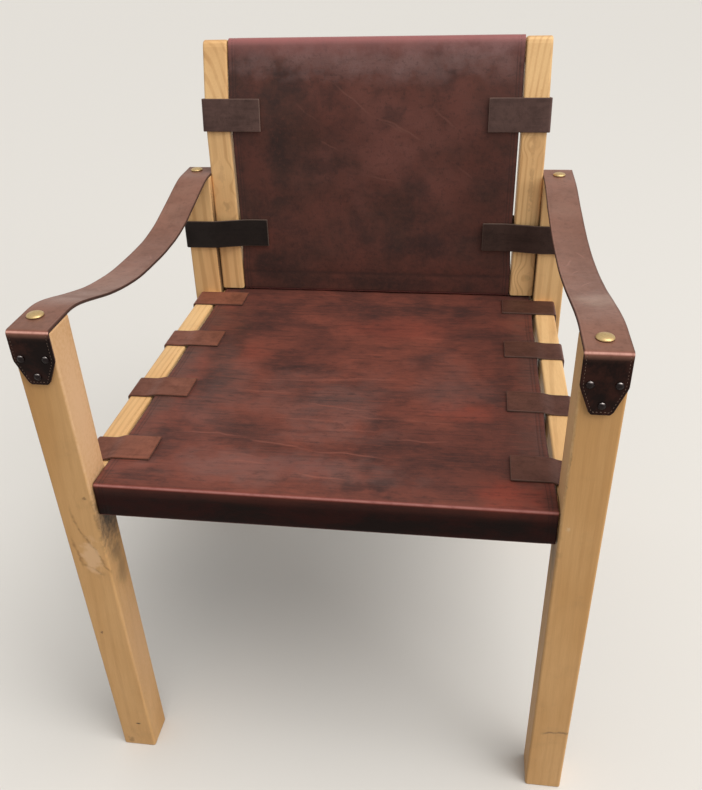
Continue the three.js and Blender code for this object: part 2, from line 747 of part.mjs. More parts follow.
for (const arm of armSides) {
  const { side, sign, tab } = arm;
  const frontLeg = makeLeg("front_leg_" + side, frontLegHeight, 0);
  const rearLeg = makeLeg("rear_leg_" + side, rearLegHeight, rearLegLean);
  const sideRail = makeSideRail(side, sign);
  const post = makePost(side, sign);
  const strap = makeArmStrap(arm);
  frontLeg.position.x = sign * legMiddle;
  rearLeg.position.set(sign * legMiddle, rearLegReach, 0);
  chair.add(frontLeg, rearLeg, strap);
  seatFrame.add(sideRail);
  backFrame.add(post);
  for (let number = 1; number <= seatStrapCount; number += 1) {
    seatFrame.add(makeSeatStrap(side, sign, number));
  }
  upperStrapFrame.add(makeBackStrap("upper", side, sign));
  lowerStrapFrame.add(makeBackStrap("lower", side, sign));
  chair.updateMatrixWorld(true);

  // Mortise and tenon joints
  cutAcross(sideRail, legSpace(frontLegHeight, 0), frontLeg);
  cutAcross(sideRail, legSpace(rearLegHeight, rearLegLean), rearLeg);
  sideRail.geometry = join(
    sideRail.geometry,
    sideRailTenon(sign, true, 0),
    sideRailTenon(sign, false, 0),
  );
  cutAcross(frontLeg, sideRailTenon(sign, true, fitGap), seatFrame);
  cutAcross(rearLeg, sideRailTenon(sign, false, fitGap), seatFrame);
  cutAcross(frontLeg, crossRailTenons(frontRailSpan, fitGap), seatFrame);
  cutAcross(rearLeg, crossRailTenons(rearRailSpan, fitGap), seatFrame);
  cutAcross(post, backRailTenons(bottomRailLow, fitGap), backFrame);
  cutAcross(post, backRailTenons(topRailLow, fitGap), topFrame);

  // Dowels between the back post and the rear leg
  dowelHeightShares.forEach((share, i) => {
    const pin = mesh(["back_dowel", side, i + 1].join("_"), dowel(0), railWood);
    pin.position.set(sign * innerHalf, postDepth / 2, sharedHeight * share);
    backFrame.add(pin);
    fasten([post, rearLeg], pin, dowel(fitGap));
  });

  // Brass studs on the legs' tops and nails through the tabs
  const studHole = pilotHole(studShank, studLength);
  const nailHole = pilotHole(nailShank, nailLength);
  const ends = [
    {
      end: "front",
      leg: frontLeg,
      top: frontLegHeight,
      middle: legDepth / 2,
      stud: arm.frontStud,
      face: () => 0,
      turn: Math.PI / 2,
    },
    {
      end: "rear",
      leg: rearLeg,
      top: rearLegHeight,
      middle: rearLegFace(rearLegHeight) + legDepth / 2,
      stud: arm.rearStud,
      face: (height) => rearLegFace(height) + legDepth,
      turn: -Math.PI / 2 - rearLegLean,
    },
  ];
  for (const { end, leg, top, middle, stud, face, turn } of ends) {
    const outward = fitGap + armLeather + fitGap;
    const head = mesh(
      ["arm_stud", end, side].join("_"),
      domedFastener(studHead, studRise, studShank, studLength),
      brass,
    );
    head.position.set(sign * legMiddle + stud[0], middle + stud[1], top + outward);
    chair.add(head);
    fasten([strap, leg], head, studHole);
    nailRowShares.forEach((share, i) => {
      const nail = mesh(
        ["arm_nail", end, side, i + 1].join("_"),
        domedFastener(nailHead, nailRise, nailShank, nailLength),
        darkMetal,
      );
      const height = top + fitGap + armLeather / 2 - tab * share;
      const along = end === "front" ? -outward : outward;
      nail.position.set(sign * legMiddle + nailOffsets[i], face(height) + along, height);
      nail.rotation.x = turn;
      chair.add(nail);
      fasten([strap, leg], nail, nailHole);
    });
  }
}

// The origin is under the middle of the whole chair.
chair.updateMatrixWorld(true);
const reach = new THREE.Box3().setFromObject(chair);
chair.position.y = -(reach.min.y + reach.max.y) / 2;

export default chair;
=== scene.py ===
import math
import random

import bmesh
import bpy
import numpy as np
from bpy.props import FloatProperty, FloatVectorProperty, PointerProperty
from bpy.types import Operator, Panel, PropertyGroup
from mathutils import Euler, Matrix, Vector, noise


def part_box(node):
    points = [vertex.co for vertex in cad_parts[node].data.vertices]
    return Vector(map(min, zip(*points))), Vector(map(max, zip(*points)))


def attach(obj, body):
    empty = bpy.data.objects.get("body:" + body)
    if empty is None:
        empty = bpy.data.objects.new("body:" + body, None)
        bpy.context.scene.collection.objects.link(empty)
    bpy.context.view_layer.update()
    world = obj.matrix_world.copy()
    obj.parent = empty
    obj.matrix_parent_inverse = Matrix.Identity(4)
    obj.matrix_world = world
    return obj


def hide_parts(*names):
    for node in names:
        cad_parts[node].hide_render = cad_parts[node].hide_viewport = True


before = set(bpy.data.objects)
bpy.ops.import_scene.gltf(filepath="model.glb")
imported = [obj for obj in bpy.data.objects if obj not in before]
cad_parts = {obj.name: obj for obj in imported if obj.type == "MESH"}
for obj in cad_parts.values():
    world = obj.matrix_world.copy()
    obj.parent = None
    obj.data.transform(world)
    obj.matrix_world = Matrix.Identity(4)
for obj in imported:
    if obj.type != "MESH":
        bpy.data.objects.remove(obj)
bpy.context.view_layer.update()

bl_info = {
    "name": "Sling Lounge Chair",
    "version": (1, 0, 0),
    "blender": (4, 5, 0),
    "location": "View3D > Sidebar > Sling Chair",
    "description": "Dresses the packed frame of a sling lounge chair in wood, leather and metal",
    "category": "Object",
}

MM = 0.001
SIDES = (("left", -1), ("right", 1))

# The chair's own sizes in millimetres, as its solids have them
OVERALL_WIDTH = 604
LEG = 45
FRONT_LEG_HEIGHT = 657
REAR_LEG_HEIGHT = 639
REAR_LEG_REACH = 523
REAR_LEG_LEAN = math.radians(3.2)
SEAT_HEIGHT = 460
SEAT_SLOPE = math.radians(1.15)
SIDE_RAIL_WIDTH = 30
SIDE_RAIL_HEIGHT = 45
CROSS_RAIL = 32
FRONT_RAIL_SETBACK = 10
REAR_RAIL_SETBACK = 7
POST_WIDTH = 37
POST_SETBACK = 10.5
POST_FOOT_RISE = 3
POST_RISE = 197
POST_BEND_DROP = 146
POST_BEND = 76
POST_TOP_LEAN = math.radians(14.2)
BACK_RAIL_FRONT = 6.3
BACK_RAIL_DEPTH = 22
BACK_RAIL_HEIGHT = 30
TOP_RAIL_LOW = -31.8
TOP_RAIL_ROUND = 9
SEAT_LEATHER = 4
BACK_LEATHER = 3.5
STRAP_LEATHER = 3
ARM_LEATHER = 3.5
FIT_GAP = 0.3
SEAT_SIDE_GAP = 4.5
SEAT_BACK_GAP = 0.4
BACK_SIDE_GAP = 3
BACK_RECESS = 2.5
BACK_DROP = 2.4
STRAP_WIDTH = 48
SEAT_STRAPS = 4
SEAT_STRAP_FRONT_GAP = 10.5
SEAT_STRAP_REAR_GAP = 6.5
STRAP_LAP = 45.5
STRAP_RETURN = 16
UPPER_STRAP_DROP = 82
LOWER_STRAP_GAP = 1
BACK_STRAP_SLACK = 1.3
ARM_WIDTH = 45
ARM_TAB_TIP = 21
ARM_TAB_TAPER_SHARE = 0.54
ARM_SETTLE = 55
BEND_RADIUS = 3.5

# How wear has changed the leather's sizes
WORN_STRAP = 2.3  # thickness of the seat's straps
LOWER_STRAP_WIDTH = 44
SEAT_FLARE = 4.4  # the slings are wider round their rails, up to the wood beside them
BACK_FLARE = 2.2
SEAT_TRIM = 0.6  # how much narrower they are between them
BACK_TRIM = 0.4
SLEEVE_SLACK = 5  # how far the seat's front sleeve hangs below its rail
SEAT_FLAP = 8  # the end of a sling past the seam of its sleeve
BACK_FLAP = 11

# Places that follow from them
INNER_HALF = OVERALL_WIDTH / 2 - LEG
LEG_MIDDLE = OVERALL_WIDTH / 2 - LEG / 2
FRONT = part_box("front_leg_left")[0].y / MM


def seat_fall(back):
    """How far the seat's leather has fallen below the level of its front rail."""
    return -REAR_RAIL_TOP * (back - SEAT_RUN_FROM) / (SEAT_RUN_TO - SEAT_RUN_FROM)


def rear_leg_face(height):
    return REAR_LEG_REACH + height * math.tan(REAR_LEG_LEAN)


def rail_top_at(back):
    return SEAT_HEIGHT - back * math.tan(SEAT_SLOPE)


SEAT_DEPTH = rear_leg_face(rail_top_at(REAR_LEG_REACH)) / math.cos(SEAT_SLOPE)
SEAT_HALF = INNER_HALF - SEAT_SIDE_GAP
POST_FOOT = rail_top_at(rear_leg_face(rail_top_at(REAR_LEG_REACH))) + POST_FOOT_RISE
POST_FRONT = rear_leg_face(POST_FOOT) + POST_SETBACK
SHARED_HEIGHT = (REAR_LEG_HEIGHT - POST_FOOT) / math.cos(REAR_LEG_LEAN)
POST_HEIGHT = SHARED_HEIGHT + POST_RISE
POST_STRAIGHT = POST_HEIGHT - POST_BEND_DROP
POST_DEPTH = LEG - POST_SETBACK
POST_OUTER = INNER_HALF - FIT_GAP
POST_INNER = POST_OUTER - POST_WIDTH
BACK_HALF = POST_INNER - BACK_SIDE_GAP
POST_BEND_TOP = POST_STRAIGHT + POST_BEND
POST_BEND_BACK = POST_BEND / 2 * math.tan(POST_TOP_LEAN)
POST_TOP_BACK = POST_BEND_BACK + (POST_HEIGHT - POST_BEND_TOP) * math.tan(POST_TOP_LEAN)
UPPER_STRAP_HEIGHT = POST_HEIGHT - UPPER_STRAP_DROP - STRAP_WIDTH / 2
FIRST_SEAT_STRAP = LEG + SEAT_STRAP_FRONT_GAP + STRAP_WIDTH / 2
LAST_SEAT_STRAP = SEAT_DEPTH - SEAT_STRAP_REAR_GAP - STRAP_WIDTH / 2
SEAT_STRAP_PITCH = (LAST_SEAT_STRAP - FIRST_SEAT_STRAP) / (SEAT_STRAPS - 1)
BOTTOM_RAIL_LOW = BACK_LEATHER + FIT_GAP - BACK_DROP

# The seat falls to its rear rail, to pass just under the back's lower sleeve
SLEEVE_REAR = BACK_RAIL_FRONT + BACK_RAIL_DEPTH + FIT_GAP + BACK_LEATHER
SLEEVE_BACK = SLEEVE_REAR * math.cos(REAR_LEG_LEAN) - BACK_DROP * math.sin(REAR_LEG_LEAN)
SLEEVE_FALL = SLEEVE_REAR * math.sin(REAR_LEG_LEAN) + BACK_DROP * math.cos(REAR_LEG_LEAN)
SLEEVE_LOW = POST_FOOT - SLEEVE_FALL - rail_top_at(POST_FRONT + SLEEVE_BACK)
REAR_RAIL_TOP = SLEEVE_LOW * math.cos(SEAT_SLOPE) - SEAT_BACK_GAP - SEAT_LEATHER - FIT_GAP
REAR_RAIL_FRONT = SEAT_DEPTH + REAR_RAIL_SETBACK
SEAT_RUN_FROM = FRONT_RAIL_SETBACK + CROSS_RAIL + FIT_GAP + 2 * SEAT_LEATHER
SEAT_RUN_TO = REAR_RAIL_FRONT + CROSS_RAIL + FIT_GAP + SEAT_LEATHER

# The arm straps have sagged to different curves with wear
ARMS = {
    "left": {"sag": 52.5, "tab": 0.321, "low": 0.62, "fall": 0.65, "lift": 0.46, "rest": 0.23},
    "right": {"sag": 35, "tab": 0.353, "low": 0.51, "fall": 0.5, "lift": 0.35, "rest": 0.39},
}
LONGEST_TAB = SHARED_HEIGHT * max(arm["tab"] for arm in ARMS.values())
LOWER_STRAP_HEIGHT = SHARED_HEIGHT - LONGEST_TAB - LOWER_STRAP_GAP - STRAP_WIDTH / 2

# Frames, from millimetres in a part of the chair to metres in the scene
CHAIR = Matrix.Diagonal((MM, MM, MM, 1)) @ Matrix.Translation((0, FRONT, 0))
SEAT = CHAIR @ Matrix.Translation((0, 0, SEAT_HEIGHT)) @ Matrix.Rotation(-SEAT_SLOPE, 4, "X")
BACK = (
    CHAIR
    @ Matrix.Translation((0, POST_FRONT, POST_FOOT))
    @ Matrix.Rotation(-REAR_LEG_LEAN, 4, "X")
)


def shade(red, green, blue):
    """A colour as a picture gives it, from 0 to 255, turned into a linear one."""
    shares = (red / 255, green / 255, blue / 255)
    return tuple(s / 12.92 if s <= 0.04045 else ((s + 0.055) / 1.055) ** 2.4 for s in shares)


# Paths, which are lists of points in a plane

CURVE_STEPS = 24
LEAST_ROUND = 0.3  # a corner with less room than this stays sharp
CLOSEST_ROWS = 0.08
TINY = 0.001  # a length that counts as none


def curve(start, handle_a, handle_b, end):
    """Points of a cubic curve without its first one."""
    points = []
    for step in range(1, CURVE_STEPS + 1):
        t = step / CURVE_STEPS
        weights = ((1 - t) ** 3, 3 * t * (1 - t) ** 2, 3 * t * t * (1 - t), t**3)
        ends = (start, handle_a, handle_b, end)
        points.append(tuple(sum(w * e[k] for w, e in zip(weights, ends)) for k in range(2)))
    return points


def rounded(corners, radius, steps=7):
    """A path through corners, each rounded to the radius or to a third number of its own."""
    places = [Vector(corner[:2]) for corner in corners]
    path = [places[0]]
    for before, corner, after, given in zip(places, places[1:], places[2:], corners[1:]):
        own = given[2] if len(given) > 2 else radius
        reach = min(own, (before - corner).length / 2, (after - corner).length / 2)
        enter = corner + (before - corner).normalized() * reach
        leave = corner + (after - corner).normalized() * reach
        if reach < LEAST_ROUND:
            path.append(corner)
            continue
        for step in range(steps + 1):
            t = step / steps
            path.append(enter * (1 - t) ** 2 + corner * 2 * t * (1 - t) + leave * t * t)
    path.append(places[-1])
    return [tuple(point) for point in path]


def evenly(path, step):
    """The same path with no two points farther apart than the step."""
    points = [np.array(path[0], float)]
    for point in path[1:]:
        ahead = np.array(point, float) - points[-1]
        length = np.linalg.norm(ahead)
        if length < TINY:
            continue
        start = points[-1]
        count = max(1, math.ceil(length / step))
        points.extend(start + ahead * k / count for k in range(1, count + 1))
    return np.array(points)


def lengths_along(path):
    """How far along a path each of its points is."""
    steps = np.linalg.norm(np.diff(path, axis=0), axis=1)
    return np.concatenate([[0], np.cumsum(steps)])


def end_rows(path, distances):
    """The same path with extra points at the given distances from each of its ends."""
    lengths = lengths_along(path)
    total = lengths[-1]
    wanted = sorted(set(lengths) | set(distances) | {total - d for d in distances})
    kept = wanted[:1]
    for length in wanted[1:]:
        if length - kept[-1] > CLOSEST_ROWS:
            kept.append(length)
    return np.stack([np.interp(kept, lengths, path[:, k]) for k in range(2)], axis=1)


# Leather strips. A strip is a path swept sideways, with rounded edges all round.

RIM = 0.9  # rounding of a cut edge
RIM_COLUMNS = (0, 0.18, 0.5, 0.9)  # how far from an edge the mesh follows its rounding
SHARP_TURN = 0.12  # curvature of a bend that gets a painted highlight and wear on its crest
CREST_REACH = 1.25  # how far the painted highlight and the wear go to both sides of the bend
LONGEST_MITRE = 2  # how much longer a bend's normal may be than a straight one's
CURL_REACH = 7  # how far back from its tip a strap's end lifts


def ripple(points, size, depth, seed):
    """Smooth random heights at points, for the waves of worn leather."""
    shift = Vector((seed * 13.7, seed * 5.1, seed * 9.3))
    heights = [noise.noise(Vector(p) / size + shift) * depth for p in points.reshape(-1, 3)]
    return np.array(heights).reshape(points.shape[:-1])


class Strip:
    """A strip of leather: its middle surface in rows along the path and columns across it."""

    def __init__(self, path, half, thickness, place, axes, columns=(), spacing=5, round_tip=2):
        self.thickness = thickness
        self.place = place
        self.axes = axes
        self.path = end_rows(np.array(path, float), RIM_COLUMNS)
        self.along = lengths_along(self.path)
        self.length = self.along[-1]
        self.from_end = np.minimum(self.along, self.length - self.along)
        given = lengths_along(path)
        halves = np.interp(self.along, given, np.broadcast_to(half, len(given)))
        inside = np.clip(round_tip - self.from_end, 0, round_tip)
        halves = halves - round_tip + np.sqrt(round_tip**2 - inside**2)
        near = np.array(sorted(set(RIM_COLUMNS) | set(columns)))
        inner = max(2, math.ceil(2 * (halves.max() - near[-1]) / spacing))
        middle = np.linspace(-1, 1, inner + 1)[1:-1]
        reach = (halves - near[-1])[:, None]
        outer = halves[:, None] - near
        self.across = np.concatenate([-outer, reach * middle, outer[:, ::-1]], axis=1)
        self.from_side = halves[:, None] - np.abs(self.across)
        # Moves off the path, sideways and into the grain side, then shares that the finish reads
        self.lift = np.zeros_like(self.across)
        self.sway = np.zeros_like(self.across)
        self.dent = np.zeros_like(self.across)
        self.crease = np.zeros_like(self.across)
        self.deep = np.zeros_like(self.across)
        self.normals = self.path_normals()
        self.worn = self.bends()

    def wide(self, values):
        """One value for each row, given to all its columns."""
        return np.repeat(values[:, None], self.across.shape[1], axis=1)

    def path_normals(self):
        """The left-hand side of the path at each row, mitred at bends."""
        ahead = np.diff(self.path, axis=0)
        ahead /= np.linalg.norm(ahead, axis=1)[:, None]
        tangent = np.concatenate([ahead[:1], ahead[:-1] + ahead[1:], ahead[-1:]])
        tangent /= np.linalg.norm(tangent, axis=1)[:, None]
        mitre = np.concatenate([[1], np.sum(tangent[1:-1] * ahead[:-1], axis=1), [1]])
        mitre = np.maximum(mitre, 1 / LONGEST_MITRE)
        return np.stack([-tangent[:, 1], tangent[:, 0]], axis=1) / mitre[:, None]

    def bends(self, sign=1):
        """How near each row is to the crest of a sharp outer bend, from 0 to 1."""
        ahead = np.diff(self.path, axis=0)
        angles = np.unwrap(np.arctan2(ahead[:, 1], ahead[:, 0]))
        turn = np.zeros(len(self.path))
        turn[1:-1] = np.diff(angles) / np.maximum((self.along[2:] - self.along[:-2]) / 2, TINY)
        turn *= -sign
        crest = (turn > SHARP_TURN) & (turn >= np.roll(turn, 1)) & (turn >= np.roll(turn, -1))
        if not crest.any():
            return np.zeros_like(self.across)
        away = np.abs(self.along[:, None] - self.along[crest][None, :]).min(axis=1)
        return self.wide(np.exp(-((away / CREST_REACH) ** 2)))

    def groove(self, distance, width, depth):
        """Presses a line into the grain side, at a distance from both long edges."""
        profile = np.exp(-(((self.from_side - distance) / width) ** 2))
        self.dent += profile * depth
        self.crease = np.maximum(self.crease, profile)

    def cross_groove(self, at, width, depth):
        """Presses a line across the strip, where the path has this length."""
        profile = np.exp(-(((self.along[:, None] - at) / width) ** 2)) + 0 * self.across
        self.dent += profile * depth
        self.crease = np.maximum(self.crease, profile)

    def dimple(self, at, aside, radius, depth):
        """Presses a shallow bowl into the leather, as round a nail."""
        away = np.hypot(self.along[:, None] - at, self.across - aside)
        self.dent += depth * np.exp(-((away / radius) ** 2))

    def curl(self, height):
        """Lifts the strip's first end off what it lies on."""
        self.lift += np.exp(-self.along / CURL_REACH)[:, None] * height

    def surface(self, side):
        """The grain side (1) or the flesh side (-1) in millimetres in the strip's own frame."""
        depth = np.minimum(self.from_side, self.from_end[:, None])
        rim = np.clip(RIM - depth, 0, RIM)
        half = self.thickness / 2 - RIM + np.sqrt(RIM**2 - rim**2)
        raised = self.lift + side * half
        if side > 0:
            raised = raised - self.dent
        flat = self.path[:, None, :] + self.normals[:, None, :] * raised[:, :, None]
        points = np.zeros(self.across.shape + (3,))
        first, second, sideways = self.axes
        points[..., first] = flat[..., 0]
        points[..., second] = flat[..., 1]
        points[..., sideways] = self.across + self.sway
        return points

    def placed(self, points):
        """Points of the strip's own frame, in metres in the scene."""
        matrix = np.array(self.place)
        return points @ matrix[:3, :3].T + matrix[:3, 3]

    def seam(self, rows, columns, sunk):
        """A line of places on the grain side, sunk into the leather."""
        points = self.surface(1)[rows, columns]
        shift = self.normals[rows] * -sunk
        points[:, self.axes[0]] += shift[:, 0]
        points[:, self.axes[1]] += shift[:, 1]
        return self.placed(points)

    def build(self, name, materials):
        """The strip as a closed mesh, with the attributes that its finish reads."""
        rows, columns = self.across.shape
        top = self.placed(self.surface(1)).reshape(-1, 3)
        bottom = self.placed(self.surface(-1)).reshape(-1, 3)
        index = np.arange(rows * columns).reshape(rows, columns)
        quads = np.stack(
            [index[:-1, :-1], index[1:, :-1], index[1:, 1:], index[:-1, 1:]], axis=-1
        ).reshape(-1, 4)
        under = quads[:, ::-1] + rows * columns
        ring = np.concatenate(
            [index[0, :-1], index[:-1, -1], index[-1, :0:-1], index[:0:-1, 0]]
        )
        follow = np.roll(ring, -1)
        rim = np.stack([ring, follow, follow + rows * columns, ring + rows * columns], axis=-1)
        faces = np.concatenate([quads, under, rim])
        mesh = bpy.data.meshes.new(name)
        mesh.from_pydata(np.concatenate([top, bottom]).tolist(), [], faces.tolist())
        kinds = np.concatenate(
            [np.zeros(len(quads)), np.full(len(under), 2), np.ones(len(rim))]
        ).astype(np.int32)
        mesh.polygons.foreach_set("material_index", kinds)
        for material in materials:
            mesh.materials.append(material)
        edge = np.minimum(self.from_side, self.from_end[:, None]) * MM
        painted = {"edge": edge, "crease": self.crease, "worn": self.worn, "deep": self.deep}
        for label, values in painted.items():
            layer = mesh.attributes.new(label, "FLOAT", "POINT")
            layer.data.foreach_set("value", np.tile(values.ravel(), 2).astype(np.float32))
        spots = np.zeros(len(mesh.loops), np.int32)
        mesh.loops.foreach_get("vertex_index", spots)
        flat = np.stack([self.across.ravel(), self.wide(self.along).ravel()], axis=-1) * MM
        layout = mesh.uv_layers.new(name="UVMap")
        layout.data.foreach_set("uv", np.tile(flat, (2, 1))[spots].ravel().astype(np.float32))
        facing_outwards(mesh)
        piece = bpy.data.objects.new(name, mesh)
        bpy.context.scene.collection.objects.link(piece)
        return piece


def facing_outwards(mesh):
    """Points a closed mesh's faces outwards and shades it smooth."""
    shell = bmesh.new()
    shell.from_mesh(mesh)
    bmesh.ops.recalc_face_normals(shell, faces=shell.faces)
    shell.to_mesh(mesh)
    shell.free()
    mesh.shade_smooth()
    mesh.update()


def finish_piece(piece, nodes):
    """Ties a piece to the chair: what it rides on and the nodes that it stands for."""
    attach(piece, "root")
    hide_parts(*nodes)


# Materials


def feed(tree, made, inputs):
    """Gives a node's inputs their values or links."""
    for key, value in inputs.items():
        if isinstance(value, bpy.types.NodeSocket):
            tree.links.new(value, made.inputs[key])
        else:
            made.inputs[key].default_value = value


def node(tree, kind, inputs=None, **settings):
    """Adds a node with its settings, which come before its inputs."""
    made = tree.nodes.new(kind)
    for key, value in settings.items():
        setattr(made, key, value)
    feed(tree, made, inputs or {})
    return made


def new_material(name):
    material = bpy.data.materials.new(name)
    material.use_nodes = True
    tree = material.node_tree
    tree.nodes.clear()
    shader = node(tree, "ShaderNodeBsdfPrincipled")
    node(tree, "ShaderNodeOutputMaterial", {"Surface": shader.outputs["BSDF"]})
    return material, tree, shader


def rgba(colour):
    return (*colour, 1)


def blend(tree, share, first, second):
    """Mixes two colours by a share."""
    mix = node(tree, "ShaderNodeMix", data_type="RGBA")
    ends = {6: first, 7: second}
    for key, value in ends.items():
        if not isinstance(value, bpy.types.NodeSocket):
            ends[key] = rgba(value)
    feed(tree, mix, {0: share, **ends})
    return mix.outputs[2]


def sum_of(tree, first, second, operation="ADD"):
    return node(tree, "ShaderNodeMath", {0: first, 1: second}, operation=operation).outputs[0]


def vector_of(tree, operation, first, second=None, scale=None):
    """A vector sum, or the number that a length or a dot product gives."""
    inputs = {0: first}
    if second is not None:
        inputs[1] = second
    if scale is not None:
        inputs["Scale"] = scale
    made = node(tree, "ShaderNodeVectorMath", inputs, operation=operation)
    return made.outputs["Value" if operation in ("LENGTH", "DOT_PRODUCT") else "Vector"]


def span(tree, value, low, high, to_low=0.0, to_high=1.0):
    """A value's smoothed place between two limits, as a share or between two other numbers."""
    inputs = {0: value, 1: low, 2: high, 3: to_low, 4: to_high}
    return node(tree, "ShaderNodeMapRange", inputs, interpolation_type="SMOOTHSTEP").outputs[0]


def noise_of(tree, vector, scale, detail=3.0, roughness=0.55, distortion=0.0):
    inputs = {
        "Vector": vector,
        "Scale": scale,
        "Detail": detail,
        "Roughness": roughness,
        "Distortion": distortion,
    }
    return node(tree, "ShaderNodeTexNoise", inputs).outputs[0]


def mapped(tree, vector, scale=(1, 1, 1), turn=(0, 0, 0), shift=(0, 0, 0)):
    inputs = {"Vector": vector, "Scale": scale, "Rotation": turn, "Location": shift}
    return node(tree, "ShaderNodeMapping", inputs).outputs[0]


def emboss(tree, shader, height, strength, distance):
    """Gives a surface its fine relief."""
    inputs = {"Height": height, "Strength": strength, "Distance": distance}
    feed(tree, shader, {"Normal": node(tree, "ShaderNodeBump", inputs).outputs[0]})


def object_place(tree):
    return node(tree, "ShaderNodeTexCoord").outputs["Object"]


def attribute(tree, name):
    return node(tree, "ShaderNodeAttribute", attribute_name=name).outputs["Fac"]


def seen_rays(tree):
    """1 for what the camera sees, also in metal and through glass, and 0 for light's other rays."""
    ray = node(tree, "ShaderNodeLightPath").outputs
    mirrored = sum_of(tree, ray["Is Glossy Ray"], ray["Is Transmission Ray"], "MAXIMUM")
    return sum_of(tree, ray["Is Camera Ray"], mirrored, "MAXIMUM")


def spot_share(tree, place, spot):
    """How strongly a spot shows: fully at its middle, and not at all past its ragged outline."""
    away = vector_of(tree, "SUBTRACT", place, spot["at"])
    far = vector_of(tree, "LENGTH", vector_of(tree, "DIVIDE", away, spot["size"]))
    ragged = noise_of(tree, place, 0.7 / min(spot["size"]), 3.0)
    frayed = spot.get("frayed", 0.4)
    far = sum_of(tree, far, span(tree, ragged, 0.3, 0.7, -frayed, frayed))
    return span(tree, far, spot.get("core", 0.35), 1.15, spot["share"], 0.0)


def line_share(tree, place, line):
    """How strongly a thin line between two places shows. It fades towards its ends."""
    plane = Vector(line.get("plane", (1, 1, 1)))
    start, end = Vector(line["from"]) * plane, Vector(line["to"]) * plane
    length = (end - start).length
    ahead = (end - start) / length
    away = vector_of(tree, "SUBTRACT", vector_of(tree, "MULTIPLY", place, plane), start)
    along = vector_of(tree, "DOT_PRODUCT", away, ahead)
    aside = vector_of(tree, "SUBTRACT", away, vector_of(tree, "SCALE", ahead, scale=along))
    share = span(tree, vector_of(tree, "LENGTH", aside), 0.0, line["width"], line["share"], 0.0)
    for low, high in ((0.0, length * 0.35), (length, length * 0.65)):
        share = sum_of(tree, share, span(tree, along, low, high), "MULTIPLY")
    return share


def swayed(tree, place, scale, reach):
    """Places moved a little to and fro, so that lines drawn there wander."""
    sway = node(tree, "ShaderNodeTexNoise", {"Vector": place, "Scale": scale, "Detail": 2.0})
    centred = vector_of(tree, "SUBTRACT", sway.outputs["Color"], (0.5, 0.5, 0.5))
    return vector_of(tree, "ADD", place, vector_of(tree, "SCALE", centred, scale=reach))


GRAIN_TURNS = {"Z": (0, 0, 0), "Y": (math.pi / 2, 0, 0), "X": (0, -math.pi / 2, 0)}
WAVE_WIDTH = 0.314  # how wide a wave texture's bands are in metres, at a scale of 1
KNOT_PULL = 6  # how far a knot bends the growth rings, in its own sizes


def wood_material(name, settings, look):
    """Softwood sawn along one axis, with its growth rings round a heart line outside the piece."""
    material, tree, shader = new_material(name + "_wood")
    place = object_place(tree)
    low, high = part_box(name)
    ring, heart = look["ring"], look["heart"]
    turn = Euler(GRAIN_TURNS[look["grain"]])
    tilt = Euler((turn.x + heart[2], turn.y + heart[3], 0))
    middle = tilt.to_matrix() @ ((low + high) / 2)
    shift = Vector((heart[0] * MM, heart[1] * MM, ring * 3.1)) - middle
    board = mapped(tree, place, turn=tuple(tilt), shift=tuple(shift))
    grown = swayed(tree, mapped(tree, board, scale=(1, 1, 0.22)), 9.0, 0.02)
    grown = vector_of(tree, "MULTIPLY", grown, (1, 1, 0))
    for mark in look["marks"]:
        if mark["kind"] == "knot":
            away = vector_of(tree, "SUBTRACT", place, mark["at"])
            reach = mark["size"][0] * KNOT_PULL
            pull = span(tree, vector_of(tree, "LENGTH", away), 0.0, reach, -1.6, 0.0)
            grown = vector_of(tree, "ADD", grown, vector_of(tree, "SCALE", away, scale=pull))
    rings = node(
        tree,
        "ShaderNodeTexWave",
        {
            "Vector": grown,
            "Scale": WAVE_WIDTH / (ring * MM),
            "Distortion": 1.6,
            "Detail": 2.0,
            "Detail Scale": 0.6,
            "Detail Roughness": 0.6,
        },
        wave_type="RINGS",
        rings_direction="Z",
        wave_profile="SIN",
    ).outputs["Fac"]
    late = span(tree, rings, 0.5, 1.0)
    patch = noise_of(tree, mapped(tree, board, scale=(1, 1, 0.12)), 36.0, 3.0)
    late = sum_of(tree, late, span(tree, patch, 0.35, 0.65, 0.3, 1.0), "MULTIPLY")
    fibre = noise_of(tree, mapped(tree, board, scale=(1, 1, 0.02)), 1300.0, 3.0, 0.7)
    broad = noise_of(tree, mapped(tree, board, scale=(1, 1, 0.3)), 11.0, 3.0)
    colour = blend(tree, span(tree, broad, 0.32, 0.68), look["pale"], look["honey"])
    figure = sum_of(tree, late, look["figure"], "MULTIPLY")
    colour = blend(tree, figure, colour, settings.latewood)
    colour = blend(tree, span(tree, fibre, 0.3, 0.75, 0.0, 0.2), colour, settings.latewood)
    normal = node(tree, "ShaderNodeNewGeometry").outputs["Normal"]
    axis = turn.to_matrix().transposed() @ Vector((0, 0, 1))
    facing = sum_of(tree, vector_of(tree, "DOT_PRODUCT", normal, tuple(axis)), 0.0, "ABSOLUTE")
    colour = blend(tree, span(tree, facing, 0.75, 0.98, 0.0, 0.45), colour, settings.end_grain)
    grime = noise_of(tree, place, 26.0, 4.0, 0.65)
    colour = blend(tree, span(tree, grime, 0.52, 0.82, 0.0, 0.22), colour, settings.grime)
    wandering = swayed(tree, place, 60.0, 0.012)
    for mark in look["marks"]:
        if mark["kind"] == "split":
            share = line_share(tree, wandering, mark)
        else:
            share = spot_share(tree, place, mark)
        colour = blend(tree, share, colour, shade(*mark["colour"]))
    height = sum_of(tree, sum_of(tree, fibre, 0.5, "MULTIPLY"), late)
    emboss(tree, shader, height, 0.2, 0.0004)
    roughness = span(tree, fibre, 0.3, 0.7, 0.46, 0.62)
    feed(tree, shader, {"Base Color": colour, "Roughness": roughness, "IOR": 1.45})
    return material


